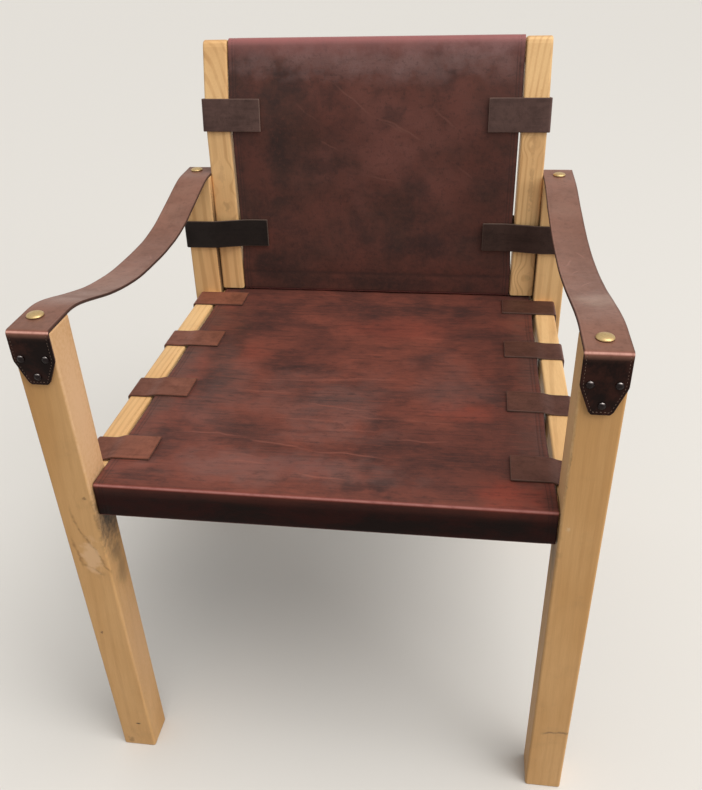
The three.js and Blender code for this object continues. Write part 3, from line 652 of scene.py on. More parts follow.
PLAIN_LEATHER = {
    "shift": (0, 0, 0),
    "mottle": 1.0,
    "smudge": (1, 1, 1),
    "patches": 0.6,
    "edge_reach": 0.0022,
    "worn_share": 0.5,
    "bump": 0.35,
    "specular": 0.18,
    "spots": (),
    "wrinkles": (),
}


def leather_material(name, look):
    """Dyed leather, with its mottling, wrinkles, burnished edges and pores, painted highlights on
    its sharp bends, spots of painted sheen and painted shade on its shaded faces.
    """
    material, tree, shader = new_material(name)
    light, dark = look["light"], look["dark"]
    look = {**PLAIN_LEATHER, "wrinkle": look["scuff"], "deep": dark, "glow": dark, **look}
    source = node(tree, "ShaderNodeTexCoord").outputs
    place = source["Object"]
    shifted = mapped(tree, place, shift=look["shift"])
    flat = mapped(tree, source["UV"], shift=look["shift"])
    size = look["mottle"]
    cloudy = noise_of(tree, shifted, 8.0 / size, 5.0, 0.6, 0.5)
    smudged = mapped(tree, shifted, scale=look["smudge"], shift=(3, 1, 7))
    patchy = noise_of(tree, smudged, 19.0 / size, 8.0, 0.72, 0.3)
    mottle = noise_of(tree, smudged, 150.0, 5.0, 0.72)
    colour = blend(tree, span(tree, cloudy, 0.36, 0.64), look["mid"], light)
    colour = blend(tree, span(tree, patchy, 0.42, 0.7, 0.0, look["patches"]), colour, dark)
    for spot in look["spots"]:
        colour = blend(tree, spot_share(tree, place, spot), colour, look[spot["tone"]])
    colour = blend(tree, span(tree, mottle, 0.5, 0.7, 0.0, 0.35), colour, light)
    colour = blend(tree, span(tree, mottle, 0.5, 0.3, 0.0, 0.4), colour, dark)
    stretched = mapped(tree, flat, scale=look["streak_scale"])
    streaks = noise_of(tree, stretched, 1.0, 4.0, 0.6, 0.4)
    colour = blend(tree, span(tree, streaks, 0.5, 0.72, 0.0, look["streaks"]), colour, dark)
    colour = blend(tree, span(tree, streaks, 0.46, 0.28, 0.0, look["streaks"]), colour, light)
    height = sum_of(tree, streaks, 0.25, "MULTIPLY")
    wandering = swayed(tree, place, 22.0, 0.016)
    for wrinkle in look["wrinkles"]:
        share = line_share(tree, wandering, wrinkle)
        colour = blend(tree, share, colour, look["wrinkle"])
        height = sum_of(tree, height, sum_of(tree, share, 0.9, "MULTIPLY"), "SUBTRACT")
    from_edge = attribute(tree, "edge")
    share = span(tree, from_edge, 0.0003, look["edge_reach"], look["edge_share"], 0.0)
    colour = blend(tree, share, colour, look["edge"])
    crease = sum_of(tree, attribute(tree, "crease"), 0.5, "MULTIPLY")
    colour = blend(tree, crease, colour, dark)
    # Painted shade on the seat's upright front and on the tabs' faces, where the tabs are also
    # darker in their dye
    deep = blend(tree, span(tree, patchy, 0.42, 0.62, 0.0, 0.75), look["deep"], look["glow"])
    colour = blend(tree, attribute(tree, "deep"), colour, deep)
    # Painted highlight along the crests of sharp bends and over the back's top roll, with a reddish
    # sheen beside it that is partly real wear
    worn = attribute(tree, "worn")
    colour = blend(tree, span(tree, worn, 0.05, 0.7, 0.0, 0.5), colour, look["rub"])
    crest = span(tree, worn, 0.5, 1.0, 0.0, look["worn_share"])
    crest = sum_of(tree, crest, span(tree, mottle, 0.25, 0.6, 0.55, 1.0), "MULTIPLY")
    colour = blend(tree, crest, colour, look["scuff"])
    pores = node(tree, "ShaderNodeTexVoronoi", {"Vector": place, "Scale": 620.0}).outputs["Distance"]
    wrinkled = noise_of(tree, place, 210.0, 4.0, 0.65, 0.5)
    height = sum_of(tree, height, sum_of(tree, pores, 0.3, "MULTIPLY"))
    height = sum_of(tree, height, sum_of(tree, wrinkled, 0.8, "MULTIPLY"))
    emboss(tree, shader, height, look["bump"], 0.0006)
    dull = span(tree, patchy, 0.35, 0.7, *look["roughness"])
    dull = sum_of(tree, dull, sum_of(tree, crest, 0.15, "MULTIPLY"), "SUBTRACT")
    feed(tree, shader, {"Base Color": colour, "Roughness": dull, "IOR": 1.46})
    feed(tree, shader, {"Specular IOR Level": look["specular"]})
    return material


def cut_edge_material(name, colour, core):
    """The cut side of leather, in fine layers between its grain and its flesh."""
    material, tree, shader = new_material(name)
    place = object_place(tree)
    fibres = noise_of(tree, mapped(tree, place, scale=(1, 1, 3)), 500.0, 4.0, 0.7)
    broad = noise_of(tree, place, 45.0, 3.0)
    tone = blend(tree, span(tree, fibres, 0.3, 0.7), colour, core)
    tone = blend(tree, span(tree, broad, 0.45, 0.7, 0.0, 0.6), tone, colour)
    emboss(tree, shader, fibres, 0.5, 0.0004)
    feed(tree, shader, {"Base Color": tone, "Roughness": 0.72})
    return material


def flesh_material(name, colour, nap):
    """The flesh side of leather: a matt, fibrous nap."""
    material, tree, shader = new_material(name)
    place = object_place(tree)
    fibres = noise_of(tree, place, 700.0, 5.0, 0.75, 1.0)
    clouds = noise_of(tree, place, 24.0, 4.0, 0.6)
    tone = blend(tree, span(tree, fibres, 0.3, 0.72), colour, nap)
    tone = blend(tree, span(tree, clouds, 0.4, 0.7, 0.0, 0.5), tone, colour)
    emboss(tree, shader, fibres, 0.6, 0.0007)
    feed(tree, shader, {"Base Color": tone, "Roughness": 0.88, "Sheen Weight": 0.15})
    return material


def metal_material(name, colour, tarnish, roughness, share, rubbed=None):
    """Worn metal, dull in its tarnished patches, with a painted highlight on its upper side."""
    material, tree, shader = new_material(name)
    place = object_place(tree)
    patches = noise_of(tree, place, 420.0, 4.0, 0.65, 0.4)
    scuffs = noise_of(tree, mapped(tree, place, scale=(1, 4, 1)), 1300.0, 3.0, 0.6)
    dull = span(tree, patches, 0.42, 0.68, 0.0, share)
    tone = blend(tree, dull, colour, tarnish)
    # Painted highlight: the upper side of the head made lighter
    if rubbed:
        normal = node(tree, "ShaderNodeNewGeometry").outputs["Normal"]
        upward = vector_of(tree, "DOT_PRODUCT", normal, (0.0, 0.0, 1.0))
        tone = blend(tree, span(tree, upward, 0.5, 0.92, 0.0, 0.8), tone, rubbed)
    height = sum_of(tree, sum_of(tree, scuffs, 0.3, "MULTIPLY"), patches)
    emboss(tree, shader, height, 0.1, 0.0001)
    finish = span(tree, patches, 0.3, 0.7, roughness, roughness + 0.22)
    feed(tree, shader, {"Base Color": tone, "Roughness": finish, "Metallic": 1.0})
    return material


def thread_material(name, colour, fray):
    """Waxed thread, twisted."""
    material, tree, shader = new_material(name)
    place = object_place(tree)
    twist = noise_of(tree, place, 1800.0, 2.0, 0.6)
    tone = blend(tree, span(tree, twist, 0.35, 0.65), colour, fray)
    emboss(tree, shader, twist, 0.5, 0.0002)
    feed(tree, shader, {"Base Color": tone, "Roughness": 0.6})
    return material


# Settings


def colour_property(name, description, colour):
    return FloatVectorProperty(
        name=name,
        description=description,
        subtype="COLOR",
        size=3,
        min=0,
        max=1,
        default=shade(*colour),
    )


def number_property(name, description, default, most, least=0, **kind):
    return FloatProperty(
        name=name,
        description=description,
        default=default,
        min=least,
        max=most,
        **kind,
    )


def share_property(name, description, default):
    return number_property(name, description, default, 1, subtype="FACTOR")


class WoodSettings(PropertyGroup):
    """Colours and grain of the softwood frame."""

    pale: colour_property("Pale Wood", "Early wood in the lighter boards", (238, 188, 128))
    honey: colour_property("Honey Wood", "Early wood where the oil has gone deeper", (220, 167, 105))
    # Painted light: the wood of the rails, posts and rear legs is made lighter to make up for the
    # shade that the arm straps cast on them
    bright: colour_property("Bright Wood", "Early wood of the rails and posts", (255, 211, 150))
    latewood: colour_property("Latewood", "Dark lines of the growth rings", (190, 136, 82))
    end_grain: colour_property("End Grain", "Sawn ends", (186, 136, 86))
    grime: colour_property("Grime", "Dirt rubbed into the wood", (172, 130, 88))
    leg_ring: number_property(
        "Leg Ring Width", "Distance between growth rings in the legs, in millimetres", 9, 20, 1
    )
    rail_ring: number_property(
        "Rail Ring Width", "The same in the rails and posts, in millimetres", 8, 20, 1
    )
    leg_figure: share_property("Leg Figure", "How strongly the front legs' rings show", 0.17)
    rail_figure: share_property("Rail Figure", "How strongly the rails' rings show", 0.34)
    post_figure: share_property(
        "Post Figure", "How strongly the rings of the posts and rear legs show", 0.46
    )


class LeatherSettings(PropertyGroup):
    """Colours and slackness of the leather."""

    seat_light: colour_property("Seat Red", "Where the seat is worn red", (128, 73, 61))
    seat_mid: colour_property("Seat Brown", "The seat's middle tone", (98, 60, 53))
    seat_dark: colour_property("Seat Dark", "The seat's dark patches", (56, 44, 43))
    back_light: colour_property("Back Red", "Where the back is worn red", (104, 64, 56))
    back_mid: colour_property("Back Brown", "The back's middle tone", (80, 55, 49))
    back_dark: colour_property("Back Dark", "The back's dark patches", (53, 42, 41))
    left_strap: colour_property("Left Seat Straps", "Middle tone of the left four", (124, 76, 60))
    right_strap: colour_property("Right Seat Straps", "Middle tone of the right four", (88, 56, 47))
    upper_strap: colour_property("Upper Back Straps", "Middle tone of the upper pair", (88, 67, 62))
    lower_strap: colour_property("Lower Back Straps", "Middle tone of the lower pair", (33, 27, 25))
    arm: colour_property("Arm Straps", "Middle tone of the arm straps", (128, 90, 76))
    # The colour of the painted shade on the seat's front and of the tabs' faces, which are partly
    # dark dye
    front: colour_property("Shaded Leather", "Front of the seat and faces of the tabs", (20, 6, 4))
    seat_sag: number_property(
        "Seat Sag", "How far the seat's middle hangs", 0.0028, 0.01, subtype="DISTANCE"
    )
    back_bow: number_property(
        "Back Bow", "How far the back's middle bows to the rear", 0.006, 0.012, subtype="DISTANCE"
    )


class StageSettings(PropertyGroup):
    """Floor, lamps and sky."""

    floor: colour_property("Floor", "The floor as the camera sees it", (226, 224, 220))
    sky: number_property("Sky Light", "Even light from all round", 0.45, 2)
    overhead: number_property("Overhead Light", "Strength of the soft light from above", 1.9, 10)
    side: number_property(
        "Side Lamp", "Power of the soft lamp to the front and right", 42, 400, subtype="POWER"
    )


# Shared leather looks


def strap_look(colour, lighter, **changes):
    """A strap's look round its middle tone."""
    look = {
        "light": tuple(min(1, c * lighter) for c in colour),
        "mid": tuple(colour),
        "dark": tuple(c * 0.5 for c in colour),
        "scuff": tuple(min(1, c * 2.1 + 0.01) for c in colour),
        "rub": tuple(min(1, c * 1.3) for c in colour),
        "edge": shade(38, 26, 24),
        "edge_share": 0.75,
        "roughness": (0.4, 0.56),
        "mottle": 0.6,
        "streak_scale": (150, 10, 1),
        "streaks": 0.35,
        "worn_share": 0.35,
    }
    look.update(changes)
    return look


def seat_strap_path(middle, sign):
    """A seat strap on its edge: over the leather, round the side rail and back under."""
    half = WORN_STRAP / 2
    over = 2 * FIT_GAP + SEAT_LEATHER + half - seat_fall(middle - STRAP_WIDTH / 2)
    over = max(over, FIT_GAP + half)
    under = -half - seat_fall(middle + STRAP_WIDTH / 2)
    outer = INNER_HALF + SIDE_RAIL_WIDTH + FIT_GAP + half
    bottom = -SIDE_RAIL_HEIGHT - FIT_GAP - half
    corners = [
        (SEAT_HALF - STRAP_LAP, over),
        (SEAT_HALF, over, 10),
        (INNER_HALF + 2 * STRAP_LEATHER, FIT_GAP + half, 10),
        (outer, FIT_GAP + half),
        (outer, bottom),
        (INNER_HALF - FIT_GAP - half, bottom),
        (SEAT_HALF - STRAP_RETURN, under),
        (SEAT_HALF - STRAP_LAP, under),
    ]
    return rounded([(x * sign, *rest) for x, *rest in corners], BEND_RADIUS)


def back_strap_path(level, sign):
    """A back strap on its edge: over the leather, round what stands beside it and back behind."""
    outer, front, bridge = POST_OUTER, 0, POST_INNER + 8
    if level == "lower":
        outer, front, bridge = INNER_HALF + LEG, -POST_SETBACK, INNER_HALF
    clear = BACK_STRAP_SLACK + STRAP_LEATHER / 2
    rear = POST_DEPTH + clear
    corners = [
        (BACK_HALF - STRAP_LAP, BACK_RECESS - clear),
        (BACK_HALF - 10, BACK_RECESS - clear, 10),
        (bridge, front - clear, 10),
        (outer + clear, front - clear),
        (outer + clear, rear),
        (POST_INNER - clear, rear),
        (BACK_HALF - STRAP_RETURN, BACK_RECESS + BACK_LEATHER + clear),
        (BACK_HALF - STRAP_LAP, BACK_RECESS + BACK_LEATHER + clear),
    ]
    return rounded([(x * sign, *rest) for x, *rest in corners], BEND_RADIUS)


def arm_strap_path(side):
    """An arm strap on its edge: up over the front leg, down in its sag and over the rear leg."""
    arm = ARMS[side]
    clear = FIT_GAP + ARM_LEATHER / 2
    front_top = FRONT_LEG_HEIGHT + clear
    rear_top = REAR_LEG_HEIGHT + clear
    rear_front = rear_leg_face(REAR_LEG_HEIGHT)
    rear_back = rear_front + LEG + clear
    tab = SHARED_HEIGHT * arm["tab"]
    low = LEG + (rear_front - LEG) * arm["low"]
    lowest = front_top - arm["sag"]
    fall, rise = low - LEG, rear_front - low
    path = rounded([(-clear, front_top - tab), (-clear, front_top), (LEG, front_top)], BEND_RADIUS)
    handles = (LEG + ARM_SETTLE, front_top), (low - fall * arm["fall"], lowest)
    path += curve((LEG, front_top), *handles, (low, lowest))
    handles = (low + rise * arm["lift"], lowest), (rear_front - rise * arm["rest"], rear_top)
    path += curve((low, lowest), *handles, (rear_front, rear_top))
    tip = (rear_back - tab * math.tan(REAR_LEG_LEAN), rear_top - tab)
    path += rounded([path[-1], (rear_back, rear_top), tip], BEND_RADIUS)[1:]
    return path, tab


def post_edge(offset):
    """The back's side view at a depth behind the posts' front faces, from the bend up."""
    lean, steps = POST_TOP_LEAN, 14
    start = Vector((offset, POST_STRAIGHT))
    handle = Vector((offset, POST_STRAIGHT + POST_BEND / 2 - offset * math.tan(lean / 2)))
    end = Vector(
        (offset * math.cos(lean) + POST_BEND_BACK, POST_BEND_TOP - offset * math.sin(lean))
    )
    shares = [step / steps for step in range(steps + 1)]
    return [tuple(start * (1 - t) ** 2 + handle * 2 * t * (1 - t) + end * t * t) for t in shares]


def at_top(depth, height):
    """A place in the frame of the posts' tops, in the back's frame."""
    cos, sin = math.cos(POST_TOP_LEAN), math.sin(POST_TOP_LEAN)
    return (
        POST_TOP_BACK + depth * cos + height * sin,
        POST_HEIGHT - depth * sin + height * cos,
    )


def smooth_share(values, low, high):
    """0 below the low limit, 1 above the high one, and smooth between them."""
    t = np.clip((values - low) / (high - low), 0, 1)
    return t * t * (3 - 2 * t)


def well_inside(values, low, high, near, far):
    """0 up to a near distance inside two limits, and 1 past a far one."""
    share = smooth_share(values, low + near, low + far)
    return share * (1 - smooth_share(values, high - far, high - near))


# Marks in the wood


def mark(x, back, z, size, colour, share=0.8, kind="stain", **changes):
    """A stain, a knot or a patch of painted light and shade: its middle and reach in millimetres,
    its colour and strength.
    """
    return {
        "at": (x * MM, (back + FRONT) * MM, z * MM),
        "size": tuple(s * MM for s in size),
        "colour": colour,
        "share": share,
        "kind": kind,
        **changes,
    }


def smear(*given):
    """A patch of painted light and shade on a face, fading softly from its middle."""
    return mark(*given, frayed=0.15, core=0.0)


def split(start, end, width, share=0.85, colour=(178, 130, 80)):
    """A crack or torn edge on a front face, between two places across and up it."""
    ends = [(x * MM, FRONT * MM, z * MM) for x, z in (start, end)]
    line = {"from": ends[0], "to": ends[1], "width": width * MM, "share": share}
    return {**line, "colour": colour, "kind": "split"}


def post_seam(side):
    """The dark line where a post lies against its rear leg: painted shade in the gap between them.
    """
    middle = INNER_HALF if side == "right" else -INNER_HALF
    return mark(middle, 562, 505, (1.5, 18, 135), (52, 36, 26), 0.9, frayed=0.1)


WOOD_MARKS = {
    "front_leg_left": (
        split((-289, 440), (-280, 380), 2.8),
        split((-284, 402), (-259, 342), 3.2, 0.95),
        split((-268, 362), (-256, 326), 2.8),
        split((-295, 392), (-288, 336), 3.4, 0.95),
        split((-293, 348), (-262, 328), 3.4, 0.95),
        mark(-277, 0, 360, (13, 8, 28), (252, 208, 162), 0.7),
        mark(-266, 0, 447, (2.6, 6, 3.4), (140, 104, 68), 0.7, "knot"),
        mark(-290, 0, 228, (1.8, 4, 3.4), (122, 88, 58), 0.75),
        mark(-274, 0, 47, (3.8, 4, 1.6), (66, 44, 30), 1.0, frayed=0.1),
        mark(-290, 0, 10, (5, 6, 7), (150, 112, 72), 0.6, "knot"),
        # Painted light: the upper and lower inner face made paler
        smear(-INNER_HALF, 22, 560, (3, 60, 200), (250, 206, 160), 0.95),
        smear(-INNER_HALF, 30, 190, (3, 60, 150), (240, 194, 148), 0.6),
        # Painted shadow of the seat on the inner face, darkest under its corner
        smear(-INNER_HALF, 24, 350, (14, 18, 20), (132, 104, 72), 0.6),
        smear(-INNER_HALF, 28, 318, (14, 20, 34), (140, 108, 72), 0.6),
        smear(-INNER_HALF, 32, 408, (5, 56, 62), (56, 44, 32), 1.0),
    ),
    "front_leg_right": (
        split((264, 110), (312, 115), 3.0, 0.7, (112, 86, 64)),
        split((259, 580), (257, 470), 1.4, 0.6, (150, 110, 72)),
        mark(266, 0, 447, (3, 5, 3), (238, 202, 156), 0.7),
        # Painted light on the upper inner face, and a painted shadow of the seat below it
        smear(INNER_HALF, 22, 560, (3, 60, 200), (255, 212, 156), 0.95),
        smear(INNER_HALF, 24, 404, (8, 30, 70), (104, 82, 58), 0.7),
    ),
    "rear_leg_left": (post_seam("left"),),
    "rear_leg_right": (post_seam("right"),),
    "back_post_left": (
        mark(-218, 590, 810, (3, 9, 3), (176, 128, 86), 0.6, "knot"),
        mark(-239, 571, 640, (5, 9, 22), (214, 170, 122), 0.4, "knot"),
        mark(-236, 566, 592, (6, 9, 9), (176, 132, 88), 0.4, "knot"),
        post_seam("left"),
    ),
    "back_post_right": (
        mark(240, 570, 690, (4, 9, 20), (196, 150, 102), 0.3, "knot"),
        mark(244, 576, 764, (2, 9, 16), (206, 146, 92), 0.5),
        mark(240, 568, 628, (4, 9, 40), (180, 138, 94), 0.4),
        mark(246, 560, 482, (5, 9, 9), (176, 134, 90), 0.35, "knot"),
        post_seam("right"),
    ),
    "side_rail_left": (mark(-263, 250, 455, (1.2, 150, 6), (190, 138, 80), 0.6),),
}

# Where each board's heart lies beside it, in millimetres, and how it leans off the grain
HEARTS = {
    "front_leg_left": (58, 86, 0.02, -0.035),
    "front_leg_right": (-90, 68, -0.015, 0.02),
    "rear_leg_left": (52, -60, 0.05, 0.02),
    "rear_leg_right": (-44, -72, 0.04, -0.03),
    "back_post_left": (40, 78, 0.07, 0.03),
    "back_post_right": (-74, 50, 0.06, -0.02),
    "side_rail_left": (58, 34, 0.01, -0.02),
    "side_rail_right": (-30, 74, -0.02, 0.015),
}
USUAL_HEART = (46, 62, 0.02, 0.01)


# Marks in the leather

SPOT_DEPTH = 0.06  # in metres, so that a spot goes through its sheet
BEND_ROWS = 12  # rows of the bend over the front rail that belong to the seat's top


def placed_in(place, axes, across, up):
    """A place of a frame, from its distances along two of the frame's axes."""
    spot = Vector((0, 0, 0))
    spot[axes[0]], spot[axes[1]] = across, up
    return tuple(place @ spot)


def spots_on(place, axes, tones):
    """Spots from rows of two distances in a frame, two sizes and a share."""
    spots = []
    for tone, rows in tones.items():
        for across, up, wide, long, share in rows:
            size = [SPOT_DEPTH] * 3
            size[axes[0]], size[axes[1]] = wide * MM, long * MM
            at = placed_in(place, axes, across, up)
            spots.append({"at": at, "size": tuple(size), "share": share, "tone": tone, "core": 0.1})
    return spots


def lines_on(place, axes, rows, width):
    """Lines from rows of the distances of their two ends in a frame, and a share."""
    return [
        {
            "from": placed_in(place, axes, *row[0:2]),
            "to": placed_in(place, axes, *row[2:4]),
            "share": row[4],
            "width": width * MM,
            "plane": tuple(1.0 if axis in axes else 0.0 for axis in range(3)),
        }
        for row in rows
    ]


def on_run(sheet):
    """Whether each row of the seat is on its top, and not on a sleeve's sides, bottom or flap."""
    level = np.abs(sheet.normals[:, 1]) > 0.7
    raised = sheet.path[:, 1] > -seat_fall(sheet.path[:, 0]) - 1
    crest = np.argmax(sheet.path[:, 1])
    return level & raised & (np.arange(len(sheet.path)) > crest - BEND_ROWS)


# Seams. Distances are from a long edge, and a sheet has columns close together there.

SEAM_INSET = 6.5
SECOND_LINE = 10.5
SEAT_COLUMNS = (3.5, 5.6, SEAM_INSET, 7.4, 9.6, SECOND_LINE, 11.4, 16)
BACK_COLUMNS = (3, 4.4, SEAM_INSET, 8, 9.6, SECOND_LINE, 11.4, 16)
STRAP_COLUMNS = (2.4, 5)
TAB_SEAM_INSET = 3
TAB_COLUMNS = (1.5, 2.3, TAB_SEAM_INSET, 3.7, 4.6)
TAB_SEAM_START = 5  # below the fold
HEM_RISE = 31  # of the seam that closes the back's lower sleeve
SEAT_SEAM_START = 12  # behind the front legs' faces
SEAM_SUNK = 0.25
stitch_lines = {"sling": [], "tab": []}


def edge_seams(sheet, wanted):
    """Keeps the lines of stitches that run along a sling's long edges, on the rows wanted."""
    near = np.argmin(np.abs(sheet.from_side - SEAM_INSET), axis=1)[len(sheet.path) // 2]
    rows = np.flatnonzero(wanted & (sheet.from_end > SEAM_INSET))
    for column in (near, sheet.across.shape[1] - 1 - near):
        stitch_lines["sling"].append(sheet.seam(rows, column, SEAM_SUNK))


def tab_seams(strap, tab):
    """Keeps the stitches round both tabs: down one side, across the tip and up the other."""
    count, width = strap.across.shape
    column = np.argmin(np.abs(strap.from_side[count // 2, : width // 2] - TAB_SEAM_INSET))
    tip = np.argmin(np.abs(strap.along[: count // 2] - TAB_SEAM_INSET))
    far_tip = count - 1 - tip
    fold = np.argmin(np.abs(strap.along - (tab - TAB_SEAM_START)))
    far_fold = np.argmin(np.abs(strap.along - (strap.length - tab + TAB_SEAM_START)))
    across = np.arange(column, width - column)
    for sides, turn in ((np.arange(fold, tip, -1), tip), (np.arange(far_fold, far_tip), far_tip)):
        one, other = np.full(len(sides), column), np.full(len(sides), width - 1 - column)
        rows = np.concatenate([sides, np.full(len(across), turn), sides[::-1]])
        columns = np.concatenate([one, across, other])
        stitch_lines["tab"].append(strap.seam(rows, columns, SEAM_SUNK))


# The pieces' operators


class CHAIR_OT_wood(Operator):
    """Finish the legs, rails, posts and dowels as oiled softwood"""

    bl_idname = "chair.wood"
    bl_label = "Wooden Frame"

    def execute(self, context):
        for name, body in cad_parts.items():
            kind = next((k for k in ("leg", "rail", "post", "dowel") if k in name), None)
            if kind is None:
                continue
            if not body.data.materials:
                raise RuntimeError(f"{name} has no material slot")
            settings = context.scene.chair_wood
            finish = wood_material(name, settings, self.look(name, kind, settings))
            for slot in body.material_slots:
                slot.material = finish
        return {"FINISHED"}

    @staticmethod
    def look(name, kind, settings):
        """How a wooden piece's grain runs and shows."""
        look = {
            "grain": "Y" if name.startswith("side_rail") else "X",
            "ring": settings.rail_ring,
            "figure": settings.rail_figure,
            "pale": settings.bright,
            "honey": settings.pale,
            "heart": HEARTS.get(name, USUAL_HEART),
            "marks": WOOD_MARKS.get(name, ()),
        }
        if kind in ("leg", "post"):
            look.update(grain="Z", figure=settings.post_figure)
        if kind == "leg":
            look["ring"] = settings.leg_ring
        if name.startswith("front_leg"):
            look.update(figure=settings.leg_figure, pale=settings.pale, honey=settings.honey)
        return look


class CHAIR_OT_seat_sling(Operator):
    """Make the seat: one sheet of leather, sleeved round the front and rear rails"""

    bl_idname = "chair.seat_sling"
    bl_label = "Seat Sling"

    def execute(self, context):
        settings = context.scene.chair_leather
        sheet = self.shape(settings)
        piece = sheet.build(
            "seat_leather",
            (
                leather_material("seat_hide", self.look(settings)),
                cut_edge_material("seat_cut_edge", shade(66, 40, 34), shade(112, 74, 58)),
                flesh_material("seat_flesh", shade(96, 66, 50), shade(140, 104, 82)),
            ),
        )
        finish_piece(piece, ["seat_sling"])
        edge_seams(sheet, on_run(sheet) & (sheet.path[:, 0] > SEAT_SEAM_START))
        return {"FINISHED"}

    @staticmethod
    def shape(settings):
        """The sheet round both rails, with its sag, waves, pulled edges and grooves, and painted
        shade on its upright front.
        """
        out = FIT_GAP + SEAT_LEATHER / 2
        front, front_back = FRONT_RAIL_SETBACK - out, FRONT_RAIL_SETBACK + CROSS_RAIL + out
        rear_front, rear = REAR_RAIL_FRONT - out, REAR_RAIL_FRONT + CROSS_RAIL + out
        low, lap = -CROSS_RAIL - out, -out + 0.25
        rear_lap = lap - seat_fall(rear_front) - 0.2
        corners = [
            (front_back + SEAT_FLAP, lap),
            (front_back, lap, 3),
            (front_back, low - SLEEVE_SLACK),
            (front, low - SLEEVE_SLACK),
            (front, out),
            (SEAT_RUN_FROM, out, 0),
            (rear, out - seat_fall(rear)),
            (rear, low + REAR_RAIL_TOP),
            (rear_front, low + REAR_RAIL_TOP),
            (rear_front, rear_lap, 3),
            (rear_front - SEAT_FLAP, rear_lap + 0.1),
        ]
        path = evenly(rounded(corners, radius=3.4), step=5)
        flare = 1 - smooth_share(path[:, 0], FRONT_RAIL_SETBACK, CROSS_RAIL + 70)
        half = SEAT_FLARE * flare + SEAT_HALF - SEAT_TRIM
        sheet = Strip(path, half, SEAT_LEATHER, SEAT, (1, 2, 0), SEAT_COLUMNS)
        depth = sheet.wide(sheet.path[:, 0])
        level = (sheet.normals[:, 1] * on_run(sheet))[:, None]
        sag = settings.seat_sag / MM * smooth_share(sheet.from_side, 14, 150)
        sag = sag * well_inside(depth, front_back, rear_front, near=8, far=110)
        sheet.lift -= sag * level
        places = np.stack([sheet.across, depth, 0 * depth], axis=-1)
        waves = ripple(places * (0.5, 1, 1), size=60, depth=1.1, seed=3)
        waves += ripple(places, size=22, depth=0.28, seed=8)
        calm = smooth_share(sheet.from_side, 3, 60) * smooth_share(depth, 12, 40)
        sheet.lift += np.clip(waves, -0.7, 0.7) * calm * level
        pull = np.cos((depth - FIRST_SEAT_STRAP) / SEAT_STRAP_PITCH * 2 * math.pi)
        near_edge = smooth_share(-sheet.from_side, -30, 0)
        sheet.sway += np.sign(sheet.across) * near_edge * pull * 0.5
        sheet.groove(SEAM_INSET, width=0.8, depth=0.3)
        sheet.groove(SECOND_LINE, width=0.7, depth=0.22)
        # Painted shade on the upright front of the front sleeve, darker lower down
        upright = smooth_share(-sheet.wide(sheet.normals[:, 0]), 0.55, 0.95)
        low_down = 0.62 + 0.38 * smooth_share(-sheet.path[:, 1:], 0, 14)
        sheet.deep = upright * (depth < CROSS_RAIL) * low_down
        return sheet

    def look(self, settings):
        return {
            "light": settings.seat_light,
            "mid": settings.seat_mid,
            "dark": settings.seat_dark,
            "haze": shade(128, 98, 92),
            "taupe": shade(104, 74, 66),
            "flame": shade(152, 72, 58),
            "scuff": shade(196, 138, 130),
            "wrinkle": shade(158, 98, 84),
            "rub": shade(138, 66, 58),
            "deep": settings.front,
            "glow": shade(44, 13, 9),
            "smudge": (0.45, 1, 1),
            "edge": shade(46, 32, 30),
            "edge_share": 0.5,
            "roughness": (0.36, 0.48),
            "specular": 0.1,
            "streak_scale": (11, 220, 1),
            "streaks": 0.34,
            "worn_share": 0.6,
            "spots": self.spots(),
            "wrinkles": self.wrinkles(),
        }

    @staticmethod
    def spots():
        """Clouds in the dye: darker where sitters' legs wear it, redder where it has been polished,
        and spots of painted sheen.
        """
        dark = [
            (-188, 280, 32, 190, 0.6),
            (-180, 274, 30, 46, 0.5),
            (-163, 436, 40, 46, 0.5),
            (-206, 95, 26, 60, 0.55),
            (-60, 300, 90, 20, 0.5),
            (-96, 330, 26, 30, 0.35),
            (47, 167, 24, 24, 0.65),
            (0, 214, 110, 16, 0.45),
            (10, 500, 300, 40, 0.45),
            (38, 364, 28, 14, 0.4),
            (56, 34, 44, 14, 0.6),
            (70, 120, 60, 16, 0.35),
            (-16, 221, 40, 12, 0.4),
            (100, 330, 20, 30, 0.25),
            (200, 300, 20, 120, 0.3),
        ]
        red = [
            (158, 202, 44, 28, 0.6),
            (81, 440, 60, 50, 0.4),
            (-132, 62, 60, 28, 0.5),
            (-40, 46, 60, 18, 0.5),
            (214, 34, 34, 24, 0.6),
            (-140, 324, 20, 40, 0.5),
            (18, 182, 30, 12, 0.5),
            (170, 60, 50, 30, 0.4),
        ]
        # Painted sheen: the reflection of the light on the seat's top
        haze = [(-20, 220, 120, 90, 0.35), (0, 130, 70, 30, 0.25), (-70, 56, 190, 40, 0.45)]
        haze += [(130, 260, 60, 120, 0.3), (-170, 250, 50, 120, 0.25)]
        taupe = [(-236, 250, 26, 300, 0.6), (236, 260, 24, 300, 0.5)]
        flame = [(205, 34, 60, 34, 0.7), (158, 202, 44, 28, 0.4), (-60, 60, 90, 22, 0.3)]
        flame += [(90, 440, 110, 50, 0.35), (-150, 330, 26, 40, 0.25)]
        tones = {"dark": dark, "light": red, "flame": flame, "haze": haze, "taupe": taupe}
        return spots_on(SEAT, (0, 1), tones)

